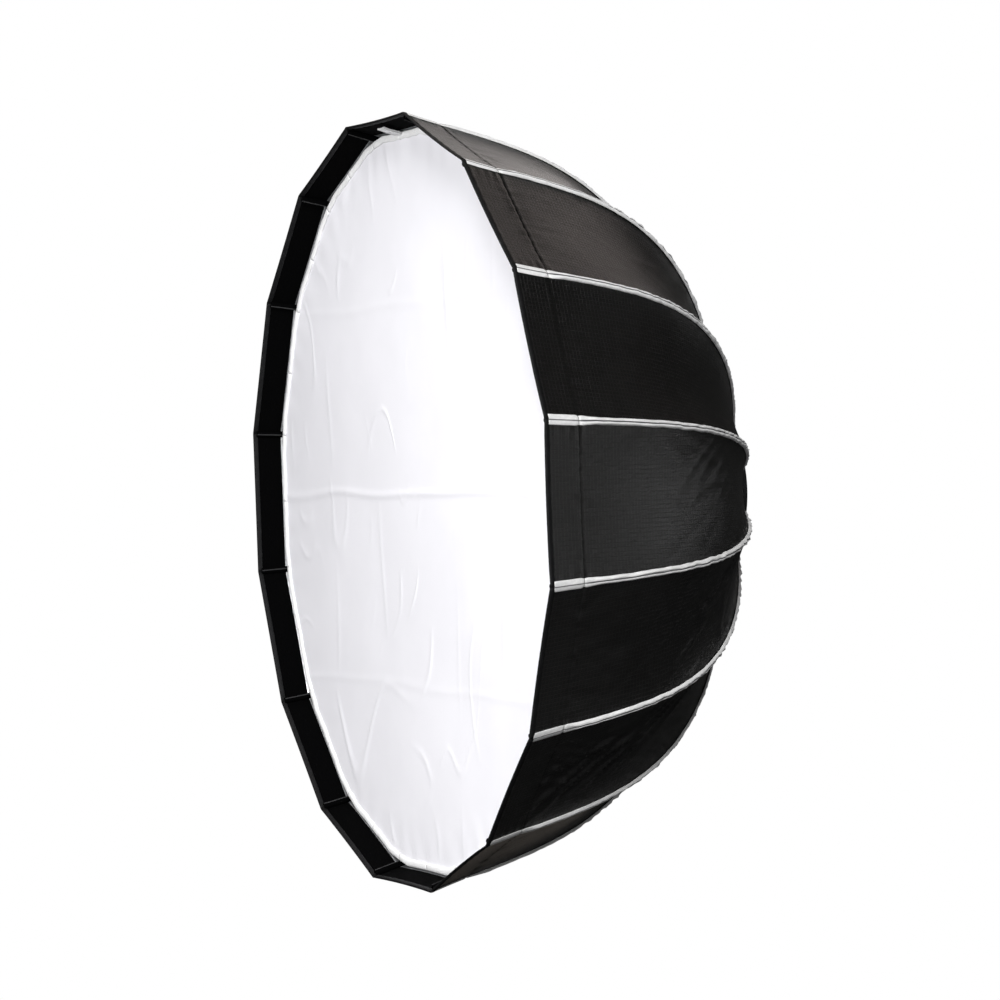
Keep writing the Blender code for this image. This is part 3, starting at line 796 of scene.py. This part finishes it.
def front_sector(name, azimuth, forward, height, outer, corner, stuff, thickness, kept):
    """One wedge of a stretched front cloth, its neighbours' surface carried on."""
    x, z = sector_points(azimuth, 0.0004, outer, 120, 47, corner)
    front = np.stack([x, -(forward + height(x, z)), z], -1)
    normal = grid_normals(front)[:, 1:-1][:, kept].reshape(-1, 3)
    front, x, z = (v[:, 1:-1][:, kept] for v in (front, x, z))
    rows, cols = x.shape
    faces, count = [], rows * cols
    for i in range(rows - 1):
        for j in range(cols - 1):
            a, b = i * cols + j, i * cols + j + 1
            faces.append((a, b, b + cols, a + cols))
    faces += [tuple(count + k for k in face[::-1]) for face in faces]
    edge = [j for j in range(cols)] + [i * cols + cols - 1 for i in range(1, rows)]
    edge += [(rows - 1) * cols + j for j in range(cols - 2, -1, -1)]
    edge += [i * cols for i in range(rows - 2, 0, -1)]
    for a, b in zip(edge, edge[1:] + edge[:1]):
        faces.append((b, a, count + a, count + b))
    back = front + np.array([0.0, thickness, 0.0])
    uvs = np.stack([x, z], -1).reshape(-1, 2)
    made = mesh_object(
        name, np.concatenate([front.reshape(-1, 3), back.reshape(-1, 3)]), faces,
        np.concatenate([uvs, uvs]), None, (stuff,)
    )
    made.data.normals_split_custom_set_from_vertices(np.concatenate([normal, -normal]).tolist())
    return made


def border_strip(number, half, name):
    """The hook-and-loop edge of the diffuser along half of one side."""
    azimuth = number * SECTOR
    share = np.linspace(min(half, 0), max(half, 0), 21)
    reach = DIFFUSER_FLAT * (math.cos(HALF) + np.abs(share) * math.tan(HALF) * math.sin(HALF))
    outer = DIFFUSER_FLAT * np.minimum(1.0, DIFFUSER_CORNER / reach)
    outer = outer - RIM_HOLLOW * (1 - share**2)
    section = (
        (0.0000, 0.0008), (0.0010, 0.0021), (0.0028, 0.0027), (0.0058, 0.0027), (0.0078, 0.0021),
        (0.0086, 0.0006), (0.0080, 0.0001), (0.0045, 0.0001), (0.0008, 0.0001)
    )
    rows, uvs = [], []
    for k, s in enumerate(share):
        wave = 0.0004 * math.sin(s * 23 + number * 2.1)
        ring, coords = [], []
        for j, (back, lift) in enumerate(section):
            apothem = outer[k] - 0.0002 - back - (wave if back > 0.002 else 0)
            x, z = np.array(s * apothem * math.tan(HALF)), np.array(apothem)
            c, q = math.cos(azimuth), math.sin(azimuth)
            x, z = x * c + z * q, -x * q + z * c
            height = float(diffuser_height(x, z)) if lift > 0.0002 else -0.0004
            ring.append((float(x), -(DIFFUSER_FORWARD + height + lift), float(z)))
            coords.append((s * 0.085, j * 0.0015))
        rows.append(ring)
        uvs.append(coords)
    return strip(name, rows, uvs, HOOKS, lengthwise=False)


# Half a side each, so that the wedges stay close to a disc when the fold draws them in.
HALVES = {"a": (-1, slice(0, 24)), "b": (1, slice(23, None))}
for number in range(1, SIDES + 1):
    azimuth = number * SECTOR
    for letter, (half, kept) in HALVES.items():
        sector = front_sector(
            f"diffuser_cloth_{number:02d}{letter}", azimuth, DIFFUSER_FORWARD, diffuser_height,
            DIFFUSER_FLAT, DIFFUSER_CORNER, DIFFUSER, 0.0005, kept
        )
        border = border_strip(number, half, f"diffuser_border_{number:02d}{letter}")
        for piece, slot in ((sector, "diffuser_white"), (border, "hook_and_loop_white")):
            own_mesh(piece)
            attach(piece, "diffuser")
        if (number, letter) == (1, "a"):
            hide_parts("front_diffuser")
            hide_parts("diffuser_border")


def pull_tab():
    """A loop of webbing sewn to the diffuser's top edge."""
    low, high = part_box("pull_tab")
    length, wide = high.y - low.y, high.x - low.x
    middle = (low.z + high.z) / 2 + 0.001
    rise = (rib_at(-low.y, CLOTH) - rib_at(-high.y, CLOTH)) * math.cos(HALF)
    line = []
    for k in range(15):  # out along the upper run, round the bend, back along the lower
        line.append((high.y - length * 0.96 * k / 14, 0.0009 + 0.0003 * math.sin(k * 0.5)))
    for a in np.linspace(90, -90, 9)[1:-1]:
        r = math.radians(a)
        line.append((low.y + 0.0009 - 0.0009 * math.cos(r), 0.0009 * math.sin(r)))
    for k in range(14, -1, -1):
        line.append((high.y - length * 0.96 * k / 14, -0.0009 + 0.0002 * math.sin(k * 0.6)))
    share = np.linspace(-1, 1, 13)
    line = np.array(line)
    x, y = np.broadcast_arrays(share[None, :] * wide / 2, line[:, :1])
    z = middle + line[:, 1:] + rise * (high.y - y) / length + 0.0004 * share[None, :] ** 2
    made = grid(
        "tab_loop", np.stack([x, y, z], -1),
        np.stack([x, np.broadcast_to(np.linspace(0, 2 * length, len(line))[:, None], x.shape)], -1),
        (TAB,), None
    )
    thickened(made, 0.0007, 0, 0)
    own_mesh(made)
    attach(made, "diffuser")
    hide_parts("pull_tab")


pull_tab()

# ---- inner baffle
BAFFLE_FORWARD = RIM_FORWARD - BAFFLE_DEPTH
BAFFLE_FLAT = BAFFLE_RADIUS * math.cos(HALF)
STRAP_WIDTH = 0.012


def baffle_height(x, z):
    where = on_plane(x, z)
    radius = np.hypot(x, z)
    pull = np.cos(SIDES * (np.arctan2(x, z) - HALF)) * smooth(0.05, BAFFLE_RADIUS, radius)
    return 0.0018 * rippled(where, 7.0, 61) + 0.0008 * pull + 0.0007 * rippled(where, 24.0, 64)


def strap(number):
    """Elastic from the baffle's corner to the rod."""
    azimuth = rib_azimuth(number)
    reach = rib_at(BAFFLE_FORWARD, ROD_INSET + ROD_RADIUS) - 0.0012
    radii = np.linspace(BAFFLE_RADIUS - 0.020, reach, 34)
    rows, uvs = [], []
    for lift in (0.0012, 0.0002):
        share = np.linspace(-1, 1, 7)
        for j in share if lift > 0.001 else share[::-1]:
            waist = np.sin(math.pi * (radii - radii[0]) / (reach - radii[0]))
            wide = STRAP_WIDTH / 2 * (1 - 0.12 * waist)
            forward = np.full_like(radii, BAFFLE_FORWARD + 0.0012 + lift) + 0.00025 * np.sin(radii * 900)
            rows.append(around(j * wide, radii, forward, azimuth))
            uvs.append(np.stack([j * wide, radii], -1))
    made = strip(f"baffle_strap_{number:02d}", rows, uvs, STRAP)
    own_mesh(made)
    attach(made, "ring")
    return made


for number in range(1, SIDES + 1):
    azimuth = number * SECTOR
    sector = front_sector(
        f"baffle_cloth_{number:02d}", azimuth, BAFFLE_FORWARD, baffle_height, BAFFLE_FLAT, BAFFLE_RADIUS,
        BAFFLE, 0.0006, slice(None)
    )
    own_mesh(sector)
    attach(sector, "ring")
    if number == 1:
        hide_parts("inner_baffle")
    strap(number)

# ---- rods and sockets
ROD_START = 0.010
TIP_SETBACK = 0.005
SOCKET_RADIUS = 0.0045
KNUCKLE_RADIUS = 0.006
KNUCKLE_WIDTH = 0.0082
WIRE_RADIUS = 0.0015


def swept(name, centres, normals, azimuth, radii, sides, stuff):
    """A round bar along points in a rib's plane, each with its outward normal and radius."""
    centres, normals, radii = (np.asarray(v, float) for v in (centres, normals, radii))
    angle = np.linspace(0, 2 * math.pi, sides, endpoint=False)[None, :]
    out = radii[:, None] * np.cos(angle)
    x = radii[:, None] * np.sin(angle)
    points = around(
        x, centres[:, :1] + out * normals[:, :1], centres[:, 1:] + out * normals[:, 1:], azimuth
    )
    run = np.concatenate([[0], np.cumsum(np.linalg.norm(np.diff(centres, axis=0), axis=1))])
    uvs = np.stack(np.broadcast_arrays(angle * np.mean(radii), run[:, None]), -1)
    return strip(name, points, uvs, stuff, lengthwise=False, flip=True)


hinge = np.array([HINGE_RADIUS, HINGE_FORWARD])
first = np.array(rib(HEM_SHARE, ROD_INSET)[:2])
lean = (first - hinge) / np.linalg.norm(first - hinge)
lean_out = np.array([lean[1], -lean[0]])


def rod_tube(number):
    azimuth = rib_azimuth(number)
    reach = np.linspace(ROD_START, np.linalg.norm(first - hinge), 8)[:-1]
    straight = [hinge + lean * d for d in reach]
    shares = share_behind(np.linspace(RIB_LENGTH, TIP_SETBACK, 70))
    radius, forward, nr, nf = rib(shares, ROD_INSET)
    centres = straight + list(np.stack([radius, forward], -1))
    normals = [lean_out] * len(straight) + list(np.stack([nr, nf], -1))
    radii = [ROD_RADIUS] * len(centres)
    last_step = centres[-1] - centres[-2]
    centres[-1:] = [centres[-1] + last_step * k for k in (-0.30, -0.12, -0.03, 0.0)]
    normals += [normals[-1]] * 3
    radii[-1:] = [ROD_RADIUS, ROD_RADIUS * 0.9, ROD_RADIUS * 0.68, ROD_RADIUS * 0.3]
    made = swept(f"rod_tube_{number:02d}", centres, normals, azimuth, radii, 16, ROD)
    dressed(made, "rod_lacquer", f"rod_{number:02d}", f"rod_{number:02d}")


def socket(number):
    """A hinge knuckle and its ribbed barrel."""
    azimuth = rib_azimuth(number)
    profile = [(0.0008, 0.0030), (0.0012, SOCKET_RADIUS), (0.0080, SOCKET_RADIUS)]
    for k in range(7):
        along = 0.0100 + k * 0.0030
        profile += [
            (along, SOCKET_RADIUS), (along + 0.0004, SOCKET_RADIUS - 0.0005),
            (along + 0.0012, SOCKET_RADIUS - 0.0005), (along + 0.0016, SOCKET_RADIUS)
        ]
    profile += [
        (0.0345, SOCKET_RADIUS), (0.0372, SOCKET_RADIUS), (0.0378, SOCKET_RADIUS - 0.0006),
        (SOCKET_REACH, SOCKET_RADIUS - 0.0013)
    ]
    centres = [hinge + lean * d for d, _ in profile]
    barrel = swept(
        f"rod_holder_{number:02d}", centres, [lean_out] * len(profile), azimuth, [r for _, r in profile],
        24, NYLON
    )
    half = KNUCKLE_WIDTH / 2
    wheel = [
        (-half, 0.0020), (-half, KNUCKLE_RADIUS - 0.0007), (-half + 0.0007, KNUCKLE_RADIUS),
        (half - 0.0007, KNUCKLE_RADIUS), (half, KNUCKLE_RADIUS - 0.0007), (half, 0.0020)
    ]
    angle = np.linspace(0, 2 * math.pi, 32, endpoint=False)
    rows = []
    for x, r in wheel:
        out, forward = HINGE_RADIUS + r * np.cos(angle), HINGE_FORWARD + r * np.sin(angle)
        rows.append(around(np.full_like(angle, x), out, forward, azimuth))
    uvs = np.zeros((len(wheel), 32, 2))
    knuckle = strip(f"knuckle_{number:02d}", rows, uvs, NYLON, lengthwise=False)
    for piece in (barrel, knuckle):
        piece.data.set_sharp_from_angle(angle=math.radians(40))
        dressed(piece, "socket_nylon", f"rod_{number:02d}")
    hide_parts(f"rod_socket_{number:02d}")


for number in range(1, SIDES + 1):
    rod_tube(number)
    socket(number)


# ---- rear collar
COLLAR_LAP = 0.012
collar_inset = ROD_INSET - SOCKET_RADIUS - GAP
collar_first = ((RING_OUTER + 2 * GAP) / math.cos(HALF) - ROOT_RADIUS) / (3 * ROOT_PULL)
collar_first = collar_first / math.cos(ROOT_LEAN)
collar_last = HEM_SHARE + COLLAR_LAP / (3 * ROOT_PULL)


def collar_points(shares, share):
    """Places on the elastic sleeve round one rib; share -1 to 1 runs between its two panels."""
    radius, forward, nr, nf = rib(shares, collar_inset)
    s = share * radius * math.sin(HALF)
    along = (shares - collar_first) / (collar_last - collar_first)
    gathers = 0.00045 * (1 + np.sin(share * 6 * math.pi + math.pi / 2)) * smooth(0.0, 0.25, along)
    gathers = gathers * (1 - 0.55 * np.exp(-(((along - 0.9) / 0.035) ** 2)))
    rolled = 0.0006 * smooth(0.88, 0.97, along)
    lift = gathers + rolled - 0.0002
    return (s * math.cos(HALF), radius + nr * lift - np.abs(s) * math.sin(HALF), forward + nf * lift)


for number in range(1, SIDES + 1):
    azimuth = rib_azimuth(number)
    shares, share = np.broadcast_arrays(
        np.linspace(collar_first, collar_last, 40)[:, None], np.linspace(-1, 1, 49)[None, :]
    )
    points = around(*collar_points(shares, share), azimuth)
    run = (shares - collar_first) * 3 * ROOT_PULL
    width = 2 * float(rib(collar_last, collar_inset)[0]) * math.sin(HALF)
    made = grid(
        f"rear_collar_{number:02d}", points, np.stack([share * width / 2, run], -1), (ELASTIC,), None,
        flip=True
    )
    for part in (0.15, 0.80):
        r, f, _, _ = rib(collar_first + part * (collar_last - collar_first), collar_inset)
    thickened(made, 0.0009)
    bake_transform(made)
    if number == 1:
        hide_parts("rear_collar")


# ---- the metal at the back
def turned(name, section, steps=256, start=0.0, sweep=2 * math.pi):
    """A closed section of (radius, forward) points turned round the axis."""
    whole = sweep >= 2 * math.pi - 1e-9
    angle = np.linspace(start, start + sweep, steps, endpoint=not whole)
    section = np.array(section)
    points = np.stack(
        [
            section[None, :, 0] * np.sin(angle)[:, None],
            np.broadcast_to(-section[None, :, 1], (len(angle), len(section))),
            section[None, :, 0] * np.cos(angle)[:, None]
        ],
        -1
    )
    count = len(section)
    faces = []
    for i in range(steps if whole else steps - 1):
        for j in range(count):
            a, b = (i % steps), (i + 1) % steps
            k = (j + 1) % count
            faces.append((a * count + j, a * count + k, b * count + k, b * count + j))
    if not whole:
        faces.append(tuple(range(count))[::-1])
        faces.append(tuple((steps - 1) * count + j for j in range(count)))
    made = mesh_object(name, points.reshape(-1, 3), faces)
    faced_out(made)
    return made


def plate(name, inner, outer, low, high, eased=0.0004):
    """A flat ring with its front edges eased."""
    return turned(
        name,
        [
            (inner, low), (outer, low), (outer, high - eased), (outer - eased, high),
            (inner + eased, high), (inner, high - eased)
        ]
    )


def faced_out(obj):
    shape = bmesh.new()
    shape.from_mesh(obj.data)
    bmesh.ops.recalc_face_normals(shape, faces=shape.faces)
    shape.to_mesh(obj.data)
    shape.free()


def cut(target, cutters):
    """The target with each cutter taken out, as one mesh."""
    for cutter in cutters:
        step = target.modifiers.new("cut", "BOOLEAN")
        step.operation = "DIFFERENCE"
        step.solver = "EXACT"
        step.object = cutter
    bpy.context.view_layer.update()
    graph = bpy.context.evaluated_depsgraph_get()
    data = bpy.data.meshes.new_from_object(target.evaluated_get(graph))
    target.modifiers.clear()
    target.data = data
    for cutter in cutters:
        bpy.data.objects.remove(cutter)
    return target


def boxes(name, low, high, azimuths):
    """A box at each azimuth, as one mesh, its own frame being (beside, forward, out)."""
    points, faces = [], []
    for azimuth in azimuths:
        base = len(points)
        for x in (low[0], high[0]):
            for f in (low[1], high[1]):
                for r in (low[2], high[2]):
                    points.append(around(x, r, f, azimuth))
        faces += [
            tuple(base + k for k in face) for face in (
                (0, 1, 3, 2), (4, 6, 7, 5), (0, 4, 5, 1), (2, 3, 7, 6), (0, 2, 6, 4), (1, 5, 7, 3)
            )
        ]
    made = mesh_object(name, points, faces)
    faced_out(made)
    return made


def merged(target, others):
    """One object that holds the target's and the others' closed shells."""
    shape = bmesh.new()
    for obj in [target, *others]:
        shape.from_mesh(obj.data)
    shape.to_mesh(target.data)
    shape.free()
    for obj in others:
        bpy.data.objects.remove(obj)
    return target


def as_metal(obj, stuff, slot, body, replaced, sharp=40):
    data = obj.data
    data.materials.clear()
    data.materials.append(stuff)
    data.polygons.foreach_set("material_index", [0] * len(data.polygons))
    data.polygons.foreach_set("use_smooth", [True] * len(data.polygons))
    data.set_sharp_from_angle(angle=math.radians(sharp))
    dressed(obj, slot, body)
    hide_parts(*replaced)


def screw_heads(name, radius, forward, azimuths, head=0.0030):
    """Countersunk hex-socket heads set in a face; the face looks forward."""
    angle = np.linspace(0, 2 * math.pi, 36, endpoint=False)
    turn = (angle % (math.pi / 3)) - math.pi / 6
    hexagon = 0.50 * head * math.cos(math.pi / 6) / np.cos(turn)
    rings = [
        (hexagon * 0.05, -0.0010), (hexagon, -0.0010), (hexagon, 0.0001), (head * 0.92, 0.0001),
        (head, -0.0001), (head * 0.75, -0.0008)
    ]
    heads = []
    for azimuth in azimuths:
        rows = []
        for r, f in rings:
            out = radius + np.sin(angle) * r
            rows.append(around(np.cos(angle) * r, out, np.full_like(angle, forward + f), azimuth))
        uvs = np.zeros((len(rings), 36, 2))
        made = grid(name, np.array(rows), uvs, (), loop=True, caps=True)
        faced_out(made)
        heads.append(made)
    return merged(heads[0], heads[1:]) if len(heads) > 1 else heads[0]


HUB_RADIUS = 0.062
FLANGE_RADIUS = 0.078
FLANGE_THICK = 0.004
HUB_FRONT = RING_FRONT + GAP
RETAINER_RADIUS = 0.070
RETAINER_THICK = 0.0027
COVER_OUTER = 0.092
COVER_THICK = 0.002
TUBE_OUTER = BORE_RADIUS + 0.003
TUBE_LENGTH = 0.010
LUG_RISE = 0.0045
LUG_THICK = 0.004
LUG_SPAN = math.radians(40)
RELIEF = 0.0008
RELIEF_RADIUS = TUBE_OUTER + LUG_RISE + 0.0015
SCREW_FORWARD = RING_REAR + 0.0042

insert = turned(
    "lamp_insert",
    [
        (BORE_RADIUS, -TUBE_LENGTH + 0.0008), (BORE_RADIUS + 0.0008, -TUBE_LENGTH),
        (TUBE_OUTER - 0.0006, -TUBE_LENGTH), (TUBE_OUTER, -TUBE_LENGTH + 0.0006), (TUBE_OUTER, RELIEF),
        (RELIEF_RADIUS, RELIEF), (RELIEF_RADIUS, 0.0), (FLANGE_RADIUS - 0.0008, 0.0),
        (FLANGE_RADIUS, 0.0008), (FLANGE_RADIUS, FLANGE_THICK), (HUB_RADIUS, FLANGE_THICK),
        (HUB_RADIUS, HUB_FRONT), (BORE_RADIUS, HUB_FRONT)
    ]
)
lugs = [
    turned(
        "lug",
        [
            (TUBE_OUTER - 0.0015, -TUBE_LENGTH), (TUBE_OUTER + LUG_RISE - 0.0005, -TUBE_LENGTH),
            (TUBE_OUTER + LUG_RISE, -TUBE_LENGTH + 0.0005),
            (TUBE_OUTER + LUG_RISE, -TUBE_LENGTH + LUG_THICK - 0.0005),
            (TUBE_OUTER + LUG_RISE - 0.0005, -TUBE_LENGTH + LUG_THICK),
            (TUBE_OUTER - 0.0015, -TUBE_LENGTH + LUG_THICK)
        ],
        24, 2 * math.pi * k / 3 - LUG_SPAN / 2, LUG_SPAN
    ) for k in range(3)
]
as_metal(merged(insert, lugs), ALUMINIUM, "bare_aluminium", "mount", ["mount_insert"])

RETAINER_FRONT = HUB_FRONT + GAP + RETAINER_THICK
retainer = plate("insert_retainer", BORE_RADIUS, RETAINER_RADIUS, HUB_FRONT + GAP, RETAINER_FRONT)
as_metal(retainer, RETAINER, "retainer_metal", "mount", ["mount_retainer"])
heads = screw_heads(
    "retainer_screws", (BORE_RADIUS + HUB_RADIUS) / 2, RETAINER_FRONT, [k * math.pi / 3 for k in range(6)]
)
as_metal(heads, STEEL, "retainer_metal", "mount", [], 30)

slot_azimuths = [rib_azimuth(number) for number in range(1, SIDES + 1)]
slot_half = KNUCKLE_WIDTH / 2 + 0.0005
slot_low = (-slot_half, HINGE_FORWARD - KNUCKLE_RADIUS - 0.0008, HINGE_RADIUS - KNUCKLE_RADIUS - 0.0017)
beyond = RING_FRONT + 0.012
chamfer = 0.0015
ring = turned(
    "ring_shell",
    [
        (HUB_RADIUS + GAP, RING_REAR), (RING_OUTER - chamfer, RING_REAR),
        (RING_OUTER, RING_REAR + chamfer), (RING_OUTER, RING_FRONT - chamfer),
        (RING_OUTER - chamfer, RING_FRONT), (HUB_RADIUS + GAP, RING_FRONT)
    ]
)
room = WIRE_RADIUS + 0.0005
groove = turned(
    "groove",
    [
        (HINGE_RADIUS - room, HINGE_FORWARD - room), (HINGE_RADIUS + room, HINGE_FORWARD - room),
        (HINGE_RADIUS + room, beyond), (HINGE_RADIUS - room, beyond)
    ],
    192
)
ring = cut(ring, [boxes("slots", slot_low, (slot_half, beyond, 0.12), slot_azimuths), groove])
as_metal(ring, ANODISED, "anodised_black", "ring", ["ring_body"])

COVER_INNER = RETAINER_RADIUS + 2 * GAP
COVER_FRONT = RING_FRONT + GAP + COVER_THICK
cover = plate("cover_plate", COVER_INNER, COVER_OUTER, RING_FRONT + GAP, COVER_FRONT)
cover = cut(cover, [boxes("slots", slot_low, (slot_half, beyond, 0.12), slot_azimuths)])
as_metal(cover, COVER, "satin_cover", "ring", ["ring_cover"])
heads = screw_heads("cover_screws", 0.0815, COVER_FRONT, [k * math.pi / 4 for k in range(8)], 0.0026)
as_metal(heads, STEEL, "satin_cover", "ring", [], 30)

wire = turned(
    "hinge_ring_wire",
    [
        (HINGE_RADIUS + WIRE_RADIUS * math.sin(a), HINGE_FORWARD + WIRE_RADIUS * math.cos(a))
        for a in np.linspace(0, 2 * math.pi, 16, endpoint=False)
    ],
)
as_metal(wire, STEEL, "wire_steel", "ring", ["hinge_wire"])


# ---- clamp screw and knob
SCREW_RADIUS = 0.003
THREAD_PITCH = 0.001
KNOB_RADIUS = 0.0075
KNOB_LOBES = 7


def along_down(name, rows, stuff, slot, replaced, sharp):
    """A shape round the clamp screw's axis: rows of (distance from the ring's axis, radii)."""
    angle = np.linspace(0, 2 * math.pi, len(rows[0][1]), endpoint=False)
    points, uvs = [], []
    for d, r in rows:
        level = np.full_like(angle, d)
        y = -SCREW_FORWARD + np.cos(angle) * r
        points.append(np.stack([np.sin(angle) * r, y, -level], -1))
        uvs.append(np.stack([angle * KNOB_RADIUS, level], -1))
    made = strip(name, points, uvs, stuff, lengthwise=False)
    faced_out(made)
    made.data.set_sharp_from_angle(angle=math.radians(sharp))
    dressed(made, slot, "clamp", replaced)


knob_start = RING_OUTER + 0.003
screw_tip = HUB_RADIUS + GAP
angle = np.linspace(0, 2 * math.pi, 32, endpoint=False)
rows = []
for d in np.arange(screw_tip + 0.001, knob_start + 0.004, THREAD_PITCH / 8):
    wave = 0.5 + 0.5 * np.cos(2 * math.pi * d / THREAD_PITCH - angle)
    rows.append((d, SCREW_RADIUS - 0.00032 * wave))
rows.insert(0, (screw_tip, np.full(32, SCREW_RADIUS * 0.75)))
along_down("threaded_screw", rows, STEEL, "screw_steel", "clamp_screw", 60)
angle = np.linspace(0, 2 * math.pi, 140, endpoint=False)
lobes = 1 - 0.0007 / KNOB_RADIUS * (1 - np.cos(KNOB_LOBES * angle))
rows = []
for d, share in (
    (0.0, 0.55), (0.0002, 0.80), (0.0008, 0.90), (0.0018, 0.955), (0.0030, 0.985), (0.0042, 1.0),
    (0.0110, 1.0), (0.0122, 0.985), (0.0131, 0.945), (0.0137, 0.88), (0.0140, 0.78), (0.0138, 0.55),
    (0.0134, 0.20)
):
    fine = 1 + 0.006 * np.cos(70 * angle) * (0.003 < d < 0.012)
    shape = lobes if share > 0.6 else 1.0 + 0 * lobes
    rows.append((knob_start + d, KNOB_RADIUS * share * shape * fine))
along_down("screw_knob", rows, KNOB, "knob_plastic", "clamp_knob", 60)


# ---- studio
VIEW_AZIMUTH, VIEW_DOWN, VIEW_ROLL = (math.radians(a) for a in (65.99, 0.91, 2.04))
FOCAL_WIDTHS = 3.5266  # focal length over sensor width
CAMERA_FROM_RIM = Vector((8.3751, -3.4156, 0.1410)) * RIM_RADIUS

camera_data = bpy.data.cameras.new("camera")
camera_data.sensor_width = 36
camera_data.lens = 36 * FOCAL_WIDTHS
camera = bpy.data.objects.new("camera", camera_data)
bpy.context.scene.collection.objects.link(camera)
ahead = Vector(
    (
        -math.sin(VIEW_AZIMUTH) * math.cos(VIEW_DOWN), math.cos(VIEW_AZIMUTH) * math.cos(VIEW_DOWN),
        -math.sin(VIEW_DOWN)
    )
)
level = ahead.to_track_quat("-Z", "Y").to_matrix().to_4x4()
camera.matrix_world = (
    Matrix.Translation(CAMERA_FROM_RIM + Vector((0, -RIM_FORWARD, 0)))
    @ level
    @ Matrix.Rotation(-VIEW_ROLL, 4, "Z")
)
bpy.context.scene.camera = camera

FLOOR_RADIUS = 3.0
FLOOR_BELOW = 1.25
turn = np.linspace(0, 2 * math.pi, 97)[:-1]
edge = [(FLOOR_RADIUS * math.cos(a), FLOOR_RADIUS * math.sin(a) - 0.2, -FLOOR_BELOW) for a in turn]
floor = mesh_object("floor", edge, [tuple(range(96))])
floor_paint = Nodes("floor_pale", (0.86, 0.86, 0.86), 0.7)
patches = floor_paint.ramp(floor_paint.noise(2.0), 0.3, 0.7)
floor_paint.paint(floor_paint.mix(patches, (0.85, 0.85, 0.85), (0.88, 0.88, 0.88)))
floor_paint.shader.inputs["Emission Color"].default_value = (1, 1, 1, 1)
floor_paint.shader.inputs["Emission Strength"].default_value = 0.62
floor.data.materials.append(floor_paint.material)
floor.visible_glossy = False
floor.visible_diffuse = False


def soft_light(name, place, aim, size, power, colour=(1, 1, 1)):
    data = bpy.data.lights.new(name, "AREA")
    data.shape = "RECTANGLE"
    data.size, data.size_y = size
    data.energy = power
    data.color = colour
    lamp = bpy.data.objects.new(name, data)
    bpy.context.scene.collection.objects.link(lamp)
    lamp.location = place
    lamp.visible_camera = False
    lamp.rotation_euler = (Vector(aim) - Vector(place)).to_track_quat("-Z", "Y").to_euler()
    return lamp


soft_light("camera_side", (3.1, -1.5, 1.9), (0.1, -0.2, 0), (1.3, 1.3), 120)
soft_light("front", (0.9, -2.1, 0.15), (0.15, -0.4, 0), (1.0, 1.4), 38)
soft_light("level_strip", (1.4, 2.5, 0.02), (0.25, 0, 0), (2.8, 0.22), 9)
soft_light("above_behind", (-0.9, 1.9, 2.1), (0.1, -0.2, 0.1), (1.0, 0.6), 4.4, (1, 0.88, 0.83))
soft_light("left_behind", (-2.0, 1.1, 1.3), (0.1, -0.3, 0.2), (0.7, 0.7), 2.3, (1, 0.93, 0.90))
soft_light("low_behind", (-1.7, 0.7, -1.05), (0.1, -0.3, -0.3), (0.6, 0.6), 0.22, (1, 0.86, 0.74))
soft_light("under", (0.9, 0.1, -1.2), (0.5, -0.15, -0.25), (1.6, 0.4), 1.0)
soft_light("top", (-1.3, -0.6, 2.1), (0, -0.2, 0), (0.9, 0.9), 14, (1, 0.93, 0.89))

world = bpy.data.worlds.new("studio")
bpy.context.scene.world = world
world.use_nodes = True
tree = world.node_tree
sky = tree.nodes["Background"]
sky.inputs[0].default_value = (1, 1, 1, 1)
sky.inputs[1].default_value = 0.022
seen = tree.nodes.new("ShaderNodeBackground")
seen.inputs[0].default_value = (1, 1, 1, 1)
seen.inputs[1].default_value = 1.0
path = tree.nodes.new("ShaderNodeLightPath")
choice = tree.nodes.new("ShaderNodeMixShader")
tree.links.new(path.outputs["Is Camera Ray"], choice.inputs[0])
tree.links.new(sky.outputs[0], choice.inputs[1])
tree.links.new(seen.outputs[0], choice.inputs[2])
tree.links.new(choice.outputs[0], tree.nodes["World Output"].inputs[0])
bpy.context.scene.view_settings.view_transform = "Standard"
